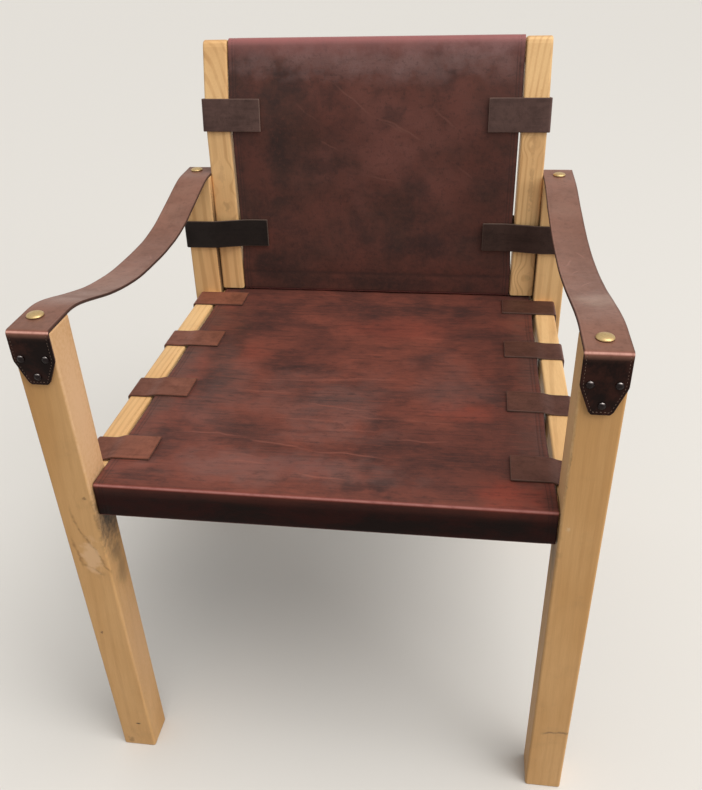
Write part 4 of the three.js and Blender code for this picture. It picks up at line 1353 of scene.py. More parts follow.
    @staticmethod
    def wrinkles():
        """Long shallow wrinkles across the seat, pale along their crests."""
        lines = [
            (-200, 124, -96, 121, 0.35),
            (-112, 120, -20, 94, 0.4),
            (-40, 98, 78, 84, 0.4),
            (58, 132, 146, 130, 0.35),
            (-30, 148, 60, 146, 0.25),
            (-120, 170, 20, 166, 0.2),
            (60, 176, 150, 170, 0.2),
            (-190, 86, -60, 74, 0.2),
            (-150, 262, 40, 270, 0.3),
            (-96, 268, 96, 276, 0.35),
            (-74, 208, 52, 190, 0.3),
            (-168, 232, -40, 228, 0.3),
            (-44, 48, 36, 40, 0.4),
            (10, 182, 70, 174, 0.3),
            (60, 410, 140, 400, 0.2),
            (-130, 66, -60, 62, 0.3),
        ]
        return lines_on(SEAT, (0, 1), lines, 2.6)


class CHAIR_OT_back_sling(Operator):
    """Make the back: one sheet of leather, sleeved round the top and bottom rails"""

    bl_idname = "chair.back_sling"
    bl_label = "Back Sling"

    def execute(self, context):
        settings = context.scene.chair_leather
        sheet, in_front = self.shape(settings)
        piece = sheet.build(
            "back_leather",
            (
                leather_material("back_hide", self.look(settings)),
                cut_edge_material("back_cut_edge", shade(52, 34, 30), shade(96, 66, 54)),
                flesh_material("back_flesh", shade(86, 60, 48), shade(128, 96, 78)),
            ),
        )
        finish_piece(piece, ["back_sling"])
        edge_seams(sheet, in_front[:, 0])
        return {"FINISHED"}

    @staticmethod
    def shape(settings):
        """The sheet round both rails, with its bow, waves and grooves, a painted highlight along its
        top roll, and its face.
        """
        out = FIT_GAP + BACK_LEATHER / 2
        face = BACK_RAIL_FRONT - out
        behind = face + BACK_LEATHER + 0.15
        rear = BACK_RAIL_FRONT + BACK_RAIL_DEPTH + out
        foot, foot_top = BOTTOM_RAIL_LOW - out, BOTTOM_RAIL_LOW + BACK_RAIL_HEIGHT + out
        head, head_low = TOP_RAIL_LOW + BACK_RAIL_HEIGHT + out, TOP_RAIL_LOW - out
        corners = [
            (behind, foot_top + BACK_FLAP),
            (behind, foot_top, 3),
            (rear, foot_top),
            (rear, foot),
            (face, foot),
            *((*point, 0) for point in post_edge(face)),
            (*at_top(face, head), TOP_RAIL_ROUND + out),
            (*at_top(rear, head), TOP_RAIL_ROUND + out),
            at_top(rear, head_low),
            (*at_top(behind, head_low), 3),
            at_top(behind, head_low - BACK_FLAP),
        ]
        path = evenly(rounded(corners, radius=4.2, steps=9), step=4.5)
        flare = smooth_share(path[:, 1], POST_HEIGHT - 120, POST_HEIGHT - 80)
        flare += 1 - smooth_share(path[:, 1], 34, 80)
        half = BACK_HALF - BACK_TRIM + BACK_FLARE * flare
        sheet = Strip(path, half, BACK_LEATHER, BACK, (1, 2, 0), BACK_COLUMNS)
        lower = sheet.path[: len(sheet.path) // 2]
        bottom = sheet.along[np.argmin(lower[:, 0] + lower[:, 1])]
        full = sheet.along[np.argmax(sheet.path[:, 1])] - bottom
        run = sheet.wide(sheet.along - bottom)
        in_front = (run > 0) & (run < full)
        bow = smooth_share(run, 34, 150) * (1 - smooth_share(run, full - 150, full - 40))
        bow = bow * smooth_share(sheet.from_side, 10, 120) * (settings.back_bow / MM)
        height = sheet.wide(sheet.path[:, 1])
        places = np.stack([sheet.across, height, 0 * height], axis=-1)
        waves = ripple(places, size=75, depth=1.5, seed=5)
        waves += ripple(places, size=26, depth=0.35, seed=9)
        calm = smooth_share(sheet.from_side, 4, 70) * smooth_share(run, 20, 60)
        calm = calm * (1 - smooth_share(run, full - 60, full - 25))
        sheet.lift -= bow * in_front
        sheet.lift += np.clip(waves, -0.9, 0.9) * calm * in_front
        sheet.groove(SEAM_INSET, width=0.8, depth=0.26)
        sheet.groove(SECOND_LINE, width=0.8, depth=0.2)
        sheet.cross_groove(bottom + HEM_RISE, width=1.6, depth=0.35)
        # A painted highlight band over the top roll, strongest at its crest
        roll = smooth_share(run, full - 46, full - 12) * 0.42
        roll += smooth_share(run, full - 16, full - 5) * 0.5
        sheet.worn = np.maximum(sheet.worn, roll * (run < full + 20))
        return sheet, in_front

    def look(self, settings):
        return {
            "light": settings.back_light,
            "mid": settings.back_mid,
            "dark": settings.back_dark,
            "haze": shade(136, 106, 103),
            "brown": shade(124, 80, 72),
            "wrinkle": shade(128, 86, 76),
            "scuff": shade(176, 104, 104),
            "rub": shade(182, 126, 124),
            "edge": shade(40, 29, 28),
            "edge_share": 0.5,
            "roughness": (0.36, 0.5),
            "specular": 0.16,
            "streak_scale": (40, 120, 1),
            "streaks": 0.2,
            "patches": 0.5,
            "shift": (0.31, 0.12, 0.4),
            "spots": self.spots(),
            "wrinkles": self.scratches(),
        }

    @staticmethod
    def spots():
        """Clouds in the back's dye, with painted light: a lighter middle, a band of painted sheen
        over the top roll and a thin line of painted shade under the top rail.
        """
        dark = [
            # A thin line of painted shade where the leather leaves the top rail's lower edge
            (-40, 336, 220, 6, 0.45),
            (-130, 318, 30, 34, 0.6),
            (22, 280, 36, 24, 0.5),
            (-146, 226, 18, 90, 0.5),
            (72, 171, 34, 34, 0.5),
            (-70, 200, 50, 22, 0.45),
            (80, 78, 100, 26, 0.6),
            (117, 330, 30, 24, 0.5),
            (-165, 40, 40, 40, 0.6),
            (20, 14, 200, 14, 0.4),
        ]
        red = [
            (-12, 334, 70, 18, 0.5),
            (-172, 330, 26, 22, 0.5),
            (70, 246, 50, 16, 0.5),
            (-10, 180, 56, 26, 0.5),
            (-190, 190, 20, 70, 0.6),
            (139, 141, 34, 60, 0.5),
            (-50, 40, 70, 22, 0.5),
        ]
        # Painted sheen in a band over the top roll
        haze = [(60, 350, 260, 26, 0.5), (-60, 350, 260, 24, 0.5), (150, 366, 90, 14, 0.6)]
        # Painted light: the middle of the back made lighter, as the light from above falls on it
        brown = [(20, 250, 140, 100, 0.7), (60, 190, 120, 60, 0.4)]
        tones = {"brown": brown, "dark": dark, "light": red, "haze": haze}
        return spots_on(BACK, (0, 2), tones)

    @staticmethod
    def scratches():
        """Old scratches that run down the back, mostly to the right."""
        lines = [
            (-64, 324, 6, 272, 0.45),
            (-6, 280, 92, 234, 0.6),
            (10, 268, 60, 246, 0.4),
            (-84, 244, -52, 222, 0.4),
            (84, 292, 130, 252, 0.4),
            (-20, 190, 46, 178, 0.35),
            (-24, 206, 30, 196, 0.25),
            (120, 210, 160, 180, 0.3),
            (-120, 300, -80, 262, 0.2),
        ]
        return lines_on(BACK, (0, 2), lines, 2.4)


def new_strap(path, half, thickness, place, axes, turn):
    """A short strap on its edge, with its grain to the left (1) or the right (-1) of its path."""
    strap = Strip(evenly(path, step=4), half, thickness, place, axes, STRAP_COLUMNS, round_tip=1.2)
    strap.normals *= turn
    strap.worn = strap.bends(turn)
    return strap


class CHAIR_OT_seat_straps(Operator):
    """Make the eight straps that tie the seat to the side rails"""

    bl_idname = "chair.seat_straps"
    bl_label = "Seat Straps"

    def execute(self, context):
        settings = context.scene.chair_leather
        cut = cut_edge_material("strap_cut_edge", shade(54, 38, 33), shade(86, 62, 52))
        flesh = flesh_material("strap_flesh", shade(96, 68, 54), shade(132, 100, 82))
        wear = random.Random(11)
        for side, sign in SIDES:
            # The left straps' dark edges are partly their dark cut edges and partly painted shadow
            # along their front edges
            colour, edge = settings.left_strap, shade(50, 34, 30)
            if side == "right":
                colour, edge = settings.right_strap, shade(104, 84, 76)
            for number in range(1, SEAT_STRAPS + 1):
                middle = FIRST_SEAT_STRAP + (number - 1) * SEAT_STRAP_PITCH
                path = seat_strap_path(middle, sign)
                half = STRAP_WIDTH / 2 - wear.uniform(0, 0.5)
                place = SEAT @ Matrix.Translation((0, middle, 0))
                strap = new_strap(path, half, WORN_STRAP, place, (0, 2, 1), sign)
                skew = wear.uniform(-0.008, 0.008)
                strap.sway += skew * (strap.along[:, None] - strap.length * 0.3)
                strap.curl(wear.uniform(0, 0.25))
                cup = (strap.across / (STRAP_WIDTH / 2)) ** 2 * wear.uniform(-0.1, 0.15)
                strap.lift += cup * (strap.along < STRAP_LAP + 4)[:, None]
                tone = wear.uniform(0.9, 1.12)
                look = strap_look(
                    tuple(c * tone for c in colour),
                    1.3,
                    edge=edge,
                    edge_share=0.45,
                    edge_reach=0.0016,
                    shift=tuple(wear.uniform(0, 4) for axis in range(3)),
                )
                name = f"seat_strap_{side}_{number}"
                piece = strap.build(
                    f"seat_tie_{side}_{number}",
                    (leather_material(name + "_hide", look), cut, flesh),
                )
                finish_piece(piece, [name])
        return {"FINISHED"}


WORN_TINT = (3.2, 2.5, 2.3)  # the lower right strap of the back is browner than the left one


class CHAIR_OT_back_straps(Operator):
    """Make the four straps that tie the back to its posts and the rear legs"""

    bl_idname = "chair.back_straps"
    bl_label = "Back Straps"

    def execute(self, context):
        settings = context.scene.chair_leather
        flesh = flesh_material("back_strap_flesh", shade(70, 52, 44), shade(104, 80, 68))
        wear = random.Random(5)
        levels = {
            "upper": {
                "height": UPPER_STRAP_HEIGHT,
                "width": STRAP_WIDTH,
                "colour": settings.upper_strap,
                "edge": shade(128, 106, 96),
                "roughness": (0.42, 0.6),
            },
            "lower": {
                "height": LOWER_STRAP_HEIGHT,
                "width": LOWER_STRAP_WIDTH,
                "colour": settings.lower_strap,
                "edge": shade(108, 92, 82),
                "roughness": (0.5, 0.66),
            },
        }
        for level, kind in levels.items():
            edge = kind["edge"]
            cut = cut_edge_material(level + "_strap_cut_edge", edge, tuple(c * 1.5 for c in edge))
            for side, sign in SIDES:
                path = back_strap_path(level, sign)
                half = kind["width"] / 2 - wear.uniform(0, 0.4)
                place = strap_place(level, kind["height"])
                strap = new_strap(path, half, STRAP_LEATHER, place, (0, 1, 2), -sign)
                strap.sway += wear.uniform(-0.012, 0.012) * (strap.along[:, None] - 40)
                strap.curl(wear.uniform(0.1, 0.4))
                tint = WORN_TINT if (level, side) == ("lower", "right") else (1, 1, 1)
                look = strap_look(
                    tuple(c * share for c, share in zip(kind["colour"], tint)),
                    1.35,
                    edge=edge,
                    edge_share=0.5,
                    edge_reach=0.0015,
                    roughness=kind["roughness"],
                    shift=tuple(wear.uniform(0, 4) for axis in range(3)),
                )
                name = f"back_strap_{level}_{side}"
                piece = strap.build(
                    f"back_tie_{level}_{side}",
                    (leather_material(name + "_hide", look), cut, flesh),
                )
                finish_piece(piece, [name])
        return {"FINISHED"}


def strap_place(level, height):
    """The frame of a back strap, square to the post where it wraps it."""
    if level == "lower":
        return BACK @ Matrix.Translation((0, 0, height))
    low, high = (edge_at(height + offset) for offset in (-STRAP_WIDTH / 2, STRAP_WIDTH / 2))
    lean = math.atan2(high - low, STRAP_WIDTH)
    middle = (low + high) / 2
    return BACK @ Matrix.Translation((0, middle, height)) @ Matrix.Rotation(-lean, 4, "X")


def edge_at(height):
    """How far back the posts' front edge is at a height above their feet."""
    if height <= POST_STRAIGHT:
        return 0.0
    if height >= POST_BEND_TOP:
        return POST_BEND_BACK + (height - POST_BEND_TOP) * math.tan(POST_TOP_LEAN)
    t = (height - POST_STRAIGHT) / POST_BEND
    return t * t * POST_BEND_BACK


STUD_DIMPLE = (13, 0.45)  # radius and depth
NAIL_DIMPLE = (6, 0.5)


def arm_frame(sign, height=0):
    """The frame of an arm strap, which is the chair's in the middle of the legs' width."""
    return CHAIR @ Matrix.Translation((sign * LEG_MIDDLE, 0, height))


class CHAIR_OT_arm_straps(Operator):
    """Make the two arm straps, with tapered tabs folded down on the legs"""

    bl_idname = "chair.arm_straps"
    bl_label = "Arm Straps"

    def execute(self, context):
        settings = context.scene.chair_leather
        cut = cut_edge_material("arm_cut_edge", shade(46, 30, 26), shade(84, 58, 48))
        flesh = flesh_material("arm_flesh", shade(90, 62, 50), shade(130, 98, 82))
        for side, sign in SIDES:
            path, tab = arm_strap_path(side)
            line = evenly(path, step=3.5)
            strap = self.shape(line, tab, sign)
            self.press_round_fasteners(strap, side)
            hide = leather_material(f"arm_{side}_hide", self.look(settings, side, sign))
            piece = strap.build("arm_leather_" + side, (hide, cut, flesh))
            finish_piece(piece, ["arm_strap_" + side])
            tab_seams(strap, tab)
        return {"FINISHED"}

    @staticmethod
    def shape(line, tab, sign):
        """A strap along its line, narrower at its tabs, with its crown, waves and grooves, and
        darker tabs, partly dark dye and partly painted shade.
        """
        along = lengths_along(line)
        total = along[-1]
        taper = tab * (1 - ARM_TAB_TAPER_SHARE)
        share = np.clip(np.minimum(along, total - along) / taper, 0, 1)
        half = ARM_TAB_TIP / 2 + (ARM_WIDTH - ARM_TAB_TIP) / 2 * share
        grid = {"columns": TAB_COLUMNS, "spacing": 2.6, "round_tip": 3.5}
        strap = Strip(line, half, ARM_LEATHER, arm_frame(sign), (1, 2, 0), **grid)
        first, last = tab + LEG, total - tab - LEG
        hang = well_inside(strap.along, first, last, near=10, far=120)[:, None]
        strap.lift -= hang * (1 - (strap.across / (ARM_WIDTH / 2)) ** 2) * 1.1
        places = np.stack([strap.across, strap.wide(strap.along), 0 * strap.across], axis=-1)
        strap.lift += ripple(places, size=48, depth=0.7, seed=2 + sign) * hang
        strap.sway += hang * np.sin(strap.along / total * math.pi * 2)[:, None] * 1.2
        strap.groove(TAB_SEAM_INSET, width=0.55, depth=0.22)
        strap.crease *= strap.from_end[:, None] < tab
        # The tabs' faces are darker: partly dark dye, partly painted shade
        strap.deep = strap.wide(smooth_share(tab - strap.from_end, 1.5, 8))
        return strap

    def look(self, settings, side, sign):
        return strap_look(
            tuple(settings.arm),
            1.25,
            scuff=shade(240, 184, 168),
            rub=shade(156, 92, 80),
            deep=settings.front,
            glow=shade(62, 33, 26),
            specular=0.12,
            wrinkle=shade(176, 128, 114),
            haze=shade(178, 148, 132),
            spots=self.spots(side, sign),
            edge=shade(60, 38, 33),
            edge_share=0.7,
            edge_reach=0.0018,
            roughness=(0.32, 0.44),
            patches=0.3,
            mottle=1.0,
            streak_scale=(120, 9, 1),
            streaks=0.12,
            worn_share=0.8,
            bump=0.22,
            shift=(0.7 * sign, 1.3, 0.2),
            wrinkles=self.scratches(side, sign),
        )

    @staticmethod
    def spots(side, sign):
        """Lighter patches along the top: painted sheen, and bleaching where a sitter's arm rests."""
        rows = [(0, 190, 50, 110, 0.15), (0, 480, 50, 60, 0.15)]
        if side == "right":
            rows = [(0, 110, 50, 80, 0.8), (4, 470, 50, 50, 0.15)]
        return spots_on(arm_frame(sign, 600), (0, 1), {"haze": rows})

    @staticmethod
    def scratches(side, sign):
        """A few short scratches along the arm."""
        rows = [(8, 150, -6, 176, 0.35), (-10, 240, 6, 262, 0.3), (12, 300, 2, 322, 0.3)]
        if side == "right":
            rows += [(-12, 120, 4, 138, 0.4), (-4, 196, 12, 220, 0.4), (-14, 270, -2, 300, 0.3)]
        return lines_on(arm_frame(sign), (0, 1), rows, 1.8)

    @staticmethod
    def press_round_fasteners(strap, side):
        """Presses the leather in round each nail and stud."""
        points = strap.placed(strap.surface(1))
        fasteners = []
        for end in ("front", "rear"):
            fasteners.append((f"arm_stud_{end}_{side}", *STUD_DIMPLE))
            for number in (1, 2, 3):
                fasteners.append((f"arm_nail_{end}_{side}_{number}", *NAIL_DIMPLE))
        for name, radius, depth in fasteners:
            low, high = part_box(name)
            middle = (low + high) / 2
            away = np.linalg.norm(points - np.array(middle), axis=2)
            row, column = np.unravel_index(np.argmin(away), away.shape)
            strap.dimple(strap.along[row], strap.across[row, column], radius, depth)


# Repeated pieces


def new_tree(name, inputs):
    """A node tree that takes and gives a mesh, and the identifiers of its other inputs."""
    tree = bpy.data.node_groups.new(name, "GeometryNodeTree")
    for way in ("INPUT", "OUTPUT"):
        tree.interface.new_socket(name="Geometry", in_out=way, socket_type="NodeSocketGeometry")
    identifiers = {}
    for label, (kind, default) in inputs.items():
        socket = tree.interface.new_socket(name=label, in_out="INPUT", socket_type=kind)
        if default is not None:
            socket.default_value = default
        identifiers[label] = socket.identifier
    return tree, identifiers


def stitch_tree():
    """Stitches along each line of a mesh: short threads at an even pitch, each a little askew."""
    inputs = {
        "Pitch": ("NodeSocketFloat", 0.004),
        "Stitch Length": ("NodeSocketFloat", 0.0028),
        "Thread Radius": ("NodeSocketFloat", 0.0004),
        "Material": ("NodeSocketMaterial", None),
    }
    tree, identifiers = new_tree("Stitches", inputs)
    given = node(tree, "NodeGroupInput").outputs
    lines = node(tree, "GeometryNodeMeshToCurve", {"Mesh": given["Geometry"]})
    spaced = {"Curve": lines.outputs[0], "Length": given["Pitch"]}
    points = node(tree, "GeometryNodeResampleCurve", spaced, mode="LENGTH")
    bead = node(tree, "GeometryNodeMeshUVSphere", {"Segments": 6, "Rings": 4, "Radius": 1.0})
    half = node(tree, "ShaderNodeMath", {0: given["Stitch Length"], 1: 0.5}, operation="MULTIPLY")
    width = given["Thread Radius"]
    size = node(tree, "ShaderNodeCombineXYZ", {0: width, 1: width, 2: half.outputs[0]})
    thread = node(
        tree, "GeometryNodeTransform", {"Geometry": bead.outputs[0], "Scale": size.outputs[0]}
    )
    tangent = node(tree, "GeometryNodeInputTangent").outputs[0]
    askew = node(
        tree,
        "FunctionNodeRandomValue",
        {"Min": (-0.1, -0.1, -0.1), "Max": (0.1, 0.1, 0.1), "Seed": 4},
        data_type="FLOAT_VECTOR",
    ).outputs[0]
    lean = node(tree, "ShaderNodeVectorMath", {0: tangent, 1: askew}).outputs[0]
    turn = node(tree, "FunctionNodeAlignRotationToVector", {"Vector": lean}, axis="Z")
    placed = node(
        tree,
        "GeometryNodeInstanceOnPoints",
        {"Points": points.outputs[0], "Instance": thread.outputs[0], "Rotation": turn.outputs[0]},
    )
    finish_tree(tree, placed.outputs[0], given["Material"])
    return tree, identifiers


def fastener_tree():
    """One head at each point of a mesh, turned to the point's own axis."""
    inputs = {
        "Pattern": ("NodeSocketObject", None),
        "Size Variation": ("NodeSocketFloat", 0.03),
        "Material": ("NodeSocketMaterial", None),
    }
    tree, identifiers = new_tree("Fasteners", inputs)
    given = node(tree, "NodeGroupInput").outputs
    pattern = node(tree, "GeometryNodeObjectInfo", {"Object": given["Pattern"]})
    axis = node(tree, "GeometryNodeInputNamedAttribute", {"Name": "axis"}, data_type="FLOAT_VECTOR")
    turn = node(tree, "FunctionNodeAlignRotationToVector", {"Vector": axis.outputs[0]}, axis="Z")
    least = node(tree, "ShaderNodeMath", {0: 1.0, 1: given["Size Variation"]}, operation="SUBTRACT")
    limits = {2: least.outputs[0], 3: 1.0, "Seed": 9}
    size = node(tree, "FunctionNodeRandomValue", limits, data_type="FLOAT").outputs[1]
    placed = node(
        tree,
        "GeometryNodeInstanceOnPoints",
        {
            "Points": given["Geometry"],
            "Instance": pattern.outputs["Geometry"],
            "Rotation": turn.outputs[0],
            "Scale": size,
        },
    )
    finish_tree(tree, placed.outputs[0], given["Material"])
    return tree, identifiers


def finish_tree(tree, geometry, material):
    whole = node(tree, "GeometryNodeRealizeInstances", {"Geometry": geometry})
    inputs = {"Geometry": whole.outputs[0], "Material": material}
    dressed = node(tree, "GeometryNodeSetMaterial", inputs)
    node(tree, "NodeGroupOutput", {0: dressed.outputs[0]})


def grown(name, points, edges, tree, values, axes=None):
    """The plain mesh that a tree makes from points."""
    seeds = bpy.data.meshes.new(name + "_seeds")
    seeds.from_pydata(points, edges, [])
    if axes is not None:
        layer = seeds.attributes.new("axis", "FLOAT_VECTOR", "POINT")
        layer.data.foreach_set("vector", np.array(axes, np.float32).ravel())
    source = bpy.data.objects.new(name + "_source", seeds)
    bpy.context.scene.collection.objects.link(source)
    modifier = source.modifiers.new(name, "NODES")
    modifier.node_group = tree
    for identifier, value in values.items():
        modifier[identifier] = value
    whole = source.evaluated_get(bpy.context.evaluated_depsgraph_get())
    mesh = bpy.data.meshes.new_from_object(whole)
    mesh.name = name
    source.modifiers.clear()
    bpy.data.objects.remove(source)
    if not mesh.polygons:
        raise RuntimeError(f"{name} came out empty")
    facing_outwards(mesh)
    piece = bpy.data.objects.new(name, mesh)
    bpy.context.scene.collection.objects.link(piece)
    return piece


def lathed(name, profile, sides):
    """A closed shape turned round Z, from the top of its axis down to the bottom."""
    shape = bmesh.new()
    rings = []
    for radius, height in profile:
        if radius == 0:
            rings.append([shape.verts.new((0, 0, height * MM))])
            continue
        turns = [2 * math.pi * k / sides for k in range(sides)]
        ring = [(radius * math.cos(t) * MM, radius * math.sin(t) * MM, height * MM) for t in turns]
        rings.append([shape.verts.new(place) for place in ring])
    for upper, lower in zip(rings, rings[1:]):
        for k in range(sides):
            corners = [upper[k % len(upper)], lower[k % len(lower)]]
            corners += [lower[(k + 1) % len(lower)], upper[(k + 1) % len(upper)]]
            unique = list(dict.fromkeys(corners))
            if len(unique) > 2:
                shape.faces.new(unique)
    bmesh.ops.recalc_face_normals(shape, faces=shape.faces)
    mesh = bpy.data.meshes.new(name)
    shape.to_mesh(mesh)
    shape.free()
    pattern = bpy.data.objects.new(name, mesh)
    bpy.context.scene.collection.objects.link(pattern)
    return pattern


def dome(radius, rise, rim, shank, length, steps=7, rounder=0.0):
    """The profile of a domed head on its shank, from the dome's top to the shank's end."""
    profile = [(0, rise)]
    for step in range(1, steps + 1):
        turn = step / steps * math.pi / 2
        height = math.cos(turn) * (1 - rounder) + (1 - math.sin(turn) ** 2) * rounder
        profile.append((radius * math.sin(turn), rim + (rise - rim) * height))
    profile += [(radius, rim * 0.4), (radius * 0.96, 0), (shank, 0)]
    profile += [(shank, -length * 0.8), (shank * 0.3, -length), (0, -length)]
    return profile


class CHAIR_OT_stitches(Operator):
    """Sew the slings' edges with dark thread and the arms' tabs with tan thread"""

    bl_idname = "chair.stitches"
    bl_label = "Stitches"

    def execute(self, context):
        tree, identifiers = stitch_tree()
        kinds = (
            ("sling", thread_material("dark_thread", shade(50, 32, 28), shade(84, 58, 50)), 0.0042),
            ("tab", thread_material("tan_thread", shade(108, 84, 72), shade(166, 138, 120)), 0.0036),
        )
        for kind, finish, pitch in kinds:
            if not stitch_lines[kind]:
                raise RuntimeError("the leather comes before its stitches")
            points, edges = [], []
            for line in stitch_lines[kind]:
                first = len(points)
                points += line.tolist()
                edges += [(k, k + 1) for k in range(first, len(points) - 1)]
            values = {identifiers["Pitch"]: pitch, identifiers["Material"]: finish}
            piece = grown(kind + "_stitches", points, edges, tree, values)
            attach(piece, "root")
        return {"FINISHED"}


# Heads and shanks in millimetres
NAIL = {"radius": 4, "rise": 2.4, "rim": 0.2, "shank": 1, "length": 14, "rounder": 0.8}
STUD = {"radius": 9.25, "rise": 3.6, "rim": 0.7, "shank": 1.2, "length": 20, "steps": 10}
REAR_NAIL_DROP = 3.6  # of a rear nail's middle below the top of its box, besides its tilt


class CHAIR_OT_fastenings(Operator):
    """Drive the dark nails into the tabs and the brass studs into the legs' tops"""

    bl_idname = "chair.fastenings"
    bl_label = "Nails and Studs"

    def execute(self, context):
        tree, identifiers = fastener_tree()
        # The last colour of the iron is the painted highlight on the nails' upper side
        iron = (shade(46, 40, 40), shade(30, 26, 27), 0.2, 0.6, shade(206, 198, 196))
        brass = (shade(208, 180, 130), shade(172, 140, 96), 0.32, 0.4)
        kinds = (
            ("arm_nail", "dark_nail", metal_material("dark_nail_metal", *iron), NAIL, 20),
            ("arm_stud", "brass", metal_material("stud_brass", *brass), STUD, 40),
        )
        for kind, slot, finish, sizes, sides in kinds:
            pattern = lathed(kind + "_pattern", dome(**sizes), sides)
            nodes = sorted(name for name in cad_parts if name.startswith(kind))
            heads = [self.head_of(name, sizes["rise"]) for name in nodes]
            places, axes = (list(row) for row in zip(*heads))
            values = {identifiers["Pattern"]: pattern, identifiers["Material"]: finish}
            piece = grown(kind + "s", places, [], tree, values, axes)
            bpy.data.objects.remove(pattern)
            finish_piece(piece, nodes)
        return {"FINISHED"}

    @staticmethod
    def head_of(name, rise):
        """Where a fastener's head sits, and the way that it faces."""
        low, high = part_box(name)
        middle = (low + high) / 2
        if "stud" in name:
            return (middle.x, middle.y, high.z - rise * MM), (0, 0, 1)
        if "front" in name:
            return (middle.x, low.y + rise * MM, middle.z), (0, -1, 0)
        axis = Vector((0, math.cos(REAR_LEG_LEAN), -math.sin(REAR_LEG_LEAN)))
        drop = NAIL["radius"] * math.sin(REAR_LEG_LEAN) * MM + REAR_NAIL_DROP * MM
        return (middle.x, high.y - rise * axis.y * MM, high.z - drop), tuple(axis)


# Stage. Lamps are placed in metres, and the camera in millimetres in the chair's own frame.

FLOOR_REACH = 16
CORNER_SIGNS = ((-1, -1), (1, -1), (1, 1), (-1, 1))
FLOOR_BOUNCE = 0.2  # how much of its colour the floor throws back at the chair
SKY_COLOUR = (1, 0.985, 0.96)
LAMP_COLOUR = (1, 0.97, 0.93)
LAMP_AIM = (0, 0, 0.5)
OVERHEAD_PLACE = (0.75, -0.42, 2.5)
OVERHEAD_SPREAD = math.radians(50)
SIDE_PLACE = (3.4, -1.7, 2.2)
SIDE_SIZE = 2.4
CAMERA_PLACE = (147.426, -672.888, 1026.019)
CAMERA_YAW = 0.155294
CAMERA_PITCH = 0.564202
CAMERA_ROLL = -0.038507
FOCAL_PIXELS = 821.299
AXIS_ROW = 400.294
PICTURE_HEIGHT = 790
SENSOR = 36


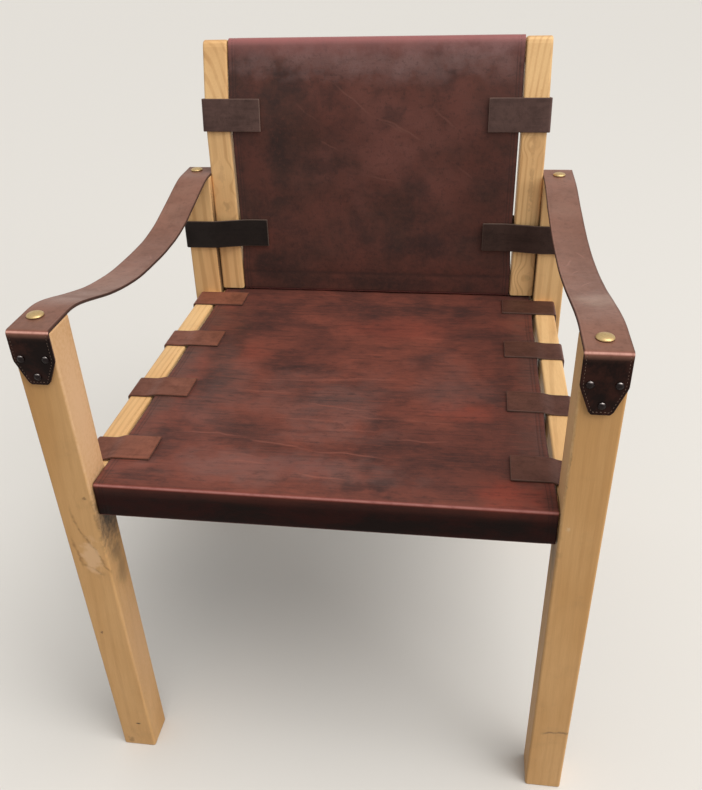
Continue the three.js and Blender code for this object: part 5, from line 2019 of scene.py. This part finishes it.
class CHAIR_OT_stage(Operator):
    """Set up the floor, the lamps, the sky and the camera"""

    bl_idname = "chair.stage"
    bl_label = "Stage"

    def execute(self, context):
        settings = context.scene.chair_stage
        self.make_floor(settings)
        self.make_sky(context.scene, settings)
        self.make_lamp("overhead_light", "SUN", OVERHEAD_PLACE, settings.overhead)
        self.make_lamp("side_lamp", "AREA", SIDE_PLACE, settings.side)
        self.make_camera(context.scene)
        context.scene.view_settings.view_transform = "Standard"
        return {"FINISHED"}

    @staticmethod
    def make_floor(settings):
        corners = [(x * FLOOR_REACH, y * FLOOR_REACH, 0) for x, y in CORNER_SIGNS]
        mesh = bpy.data.meshes.new("floor")
        mesh.from_pydata(corners, [], [(0, 1, 2, 3)])
        material, tree, shader = new_material("floor_paint")
        dim = tuple(c * FLOOR_BOUNCE for c in settings.floor)
        seen = blend(tree, seen_rays(tree), dim, settings.floor)
        feed(tree, shader, {"Base Color": seen, "Roughness": 0.85, "Specular IOR Level": 0.2})
        mesh.materials.append(material)
        floor = bpy.data.objects.new("floor", mesh)
        bpy.context.scene.collection.objects.link(floor)

    @staticmethod
    def make_sky(scene, settings):
        world = bpy.data.worlds.new("sky")
        world.use_nodes = True
        tree = world.node_tree
        tree.nodes.clear()
        glow = {"Color": rgba(SKY_COLOUR), "Strength": settings.sky}
        light = node(tree, "ShaderNodeBackground", glow).outputs[0]
        plain = {"Color": rgba(settings.floor), "Strength": 1.0}
        seen = node(tree, "ShaderNodeBackground", plain).outputs[0]
        both = node(tree, "ShaderNodeMixShader", {0: seen_rays(tree), 1: light, 2: seen})
        node(tree, "ShaderNodeOutputWorld", {"Surface": both.outputs[0]})
        scene.world = world

    @staticmethod
    def make_lamp(name, kind, place, power):
        lamp = bpy.data.lights.new(name, kind)
        if kind == "SUN":
            lamp.angle = OVERHEAD_SPREAD
        else:
            lamp.shape = "SQUARE"
            lamp.size = SIDE_SIZE
        lamp.energy = power
        lamp.color = LAMP_COLOUR
        piece = bpy.data.objects.new(name, lamp)
        piece.location = place
        aim = Vector(LAMP_AIM) - Vector(place)
        piece.rotation_euler = aim.to_track_quat("-Z", "Y").to_euler()
        bpy.context.scene.collection.objects.link(piece)

    @staticmethod
    def make_camera(scene):
        lens = bpy.data.cameras.new("camera")
        lens.sensor_width = SENSOR
        lens.lens = FOCAL_PIXELS * SENSOR / PICTURE_HEIGHT
        lens.shift_y = (AXIS_ROW - PICTURE_HEIGHT / 2) / PICTURE_HEIGHT
        lens.clip_start = 0.05
        yaw, pitch, roll = CAMERA_YAW, CAMERA_PITCH, CAMERA_ROLL
        level = Vector((-math.sin(yaw), math.cos(yaw), 0))
        right = Vector((math.cos(yaw), math.sin(yaw), 0))
        ahead = level * math.cos(pitch) + Vector((0, 0, -math.sin(pitch)))
        up = right.cross(ahead)
        turned = right * math.cos(roll) + up * math.sin(roll)
        upright = up * math.cos(roll) - right * math.sin(roll)
        x, y, z = CAMERA_PLACE
        camera = bpy.data.objects.new("camera", lens)
        axes = Matrix((turned, upright, -ahead)).transposed()
        place = Matrix.Translation((x * MM, (y + FRONT) * MM, z * MM))
        camera.matrix_world = place @ axes.to_4x4()
        scene.collection.objects.link(camera)
        scene.camera = camera


OPERATORS = (
    CHAIR_OT_stage,
    CHAIR_OT_wood,
    CHAIR_OT_seat_sling,
    CHAIR_OT_back_sling,
    CHAIR_OT_seat_straps,
    CHAIR_OT_back_straps,
    CHAIR_OT_arm_straps,
    CHAIR_OT_stitches,
    CHAIR_OT_fastenings,
)


class CHAIR_PT_panel(Panel):
    """The chair's settings and the steps that make it"""

    bl_idname = "CHAIR_PT_panel"
    bl_label = "Sling Chair"
    bl_space_type = "VIEW_3D"
    bl_region_type = "UI"
    bl_category = "Sling Chair"

    def draw(self, context):
        for name in SETTINGS:
            column = self.layout.column()
            group = getattr(context.scene, name)
            for key in group.__annotations__:
                column.prop(group, key)
        for operator in OPERATORS:
            self.layout.operator(operator.bl_idname)


SETTINGS = {
    "chair_wood": WoodSettings,
    "chair_leather": LeatherSettings,
    "chair_stage": StageSettings,
}
CLASSES = (*SETTINGS.values(), *OPERATORS, CHAIR_PT_panel)


def register():
    for made in CLASSES:
        bpy.utils.register_class(made)
    for name, group in SETTINGS.items():
        setattr(bpy.types.Scene, name, PointerProperty(type=group))


def unregister():
    for name in SETTINGS:
        delattr(bpy.types.Scene, name)
    for made in reversed(CLASSES):
        bpy.utils.unregister_class(made)


def main():
    register()
    for operator in OPERATORS:
        group, name = operator.bl_idname.split(".")
        getattr(getattr(bpy.ops, group), name)()


if __name__ == "__main__":
    main()
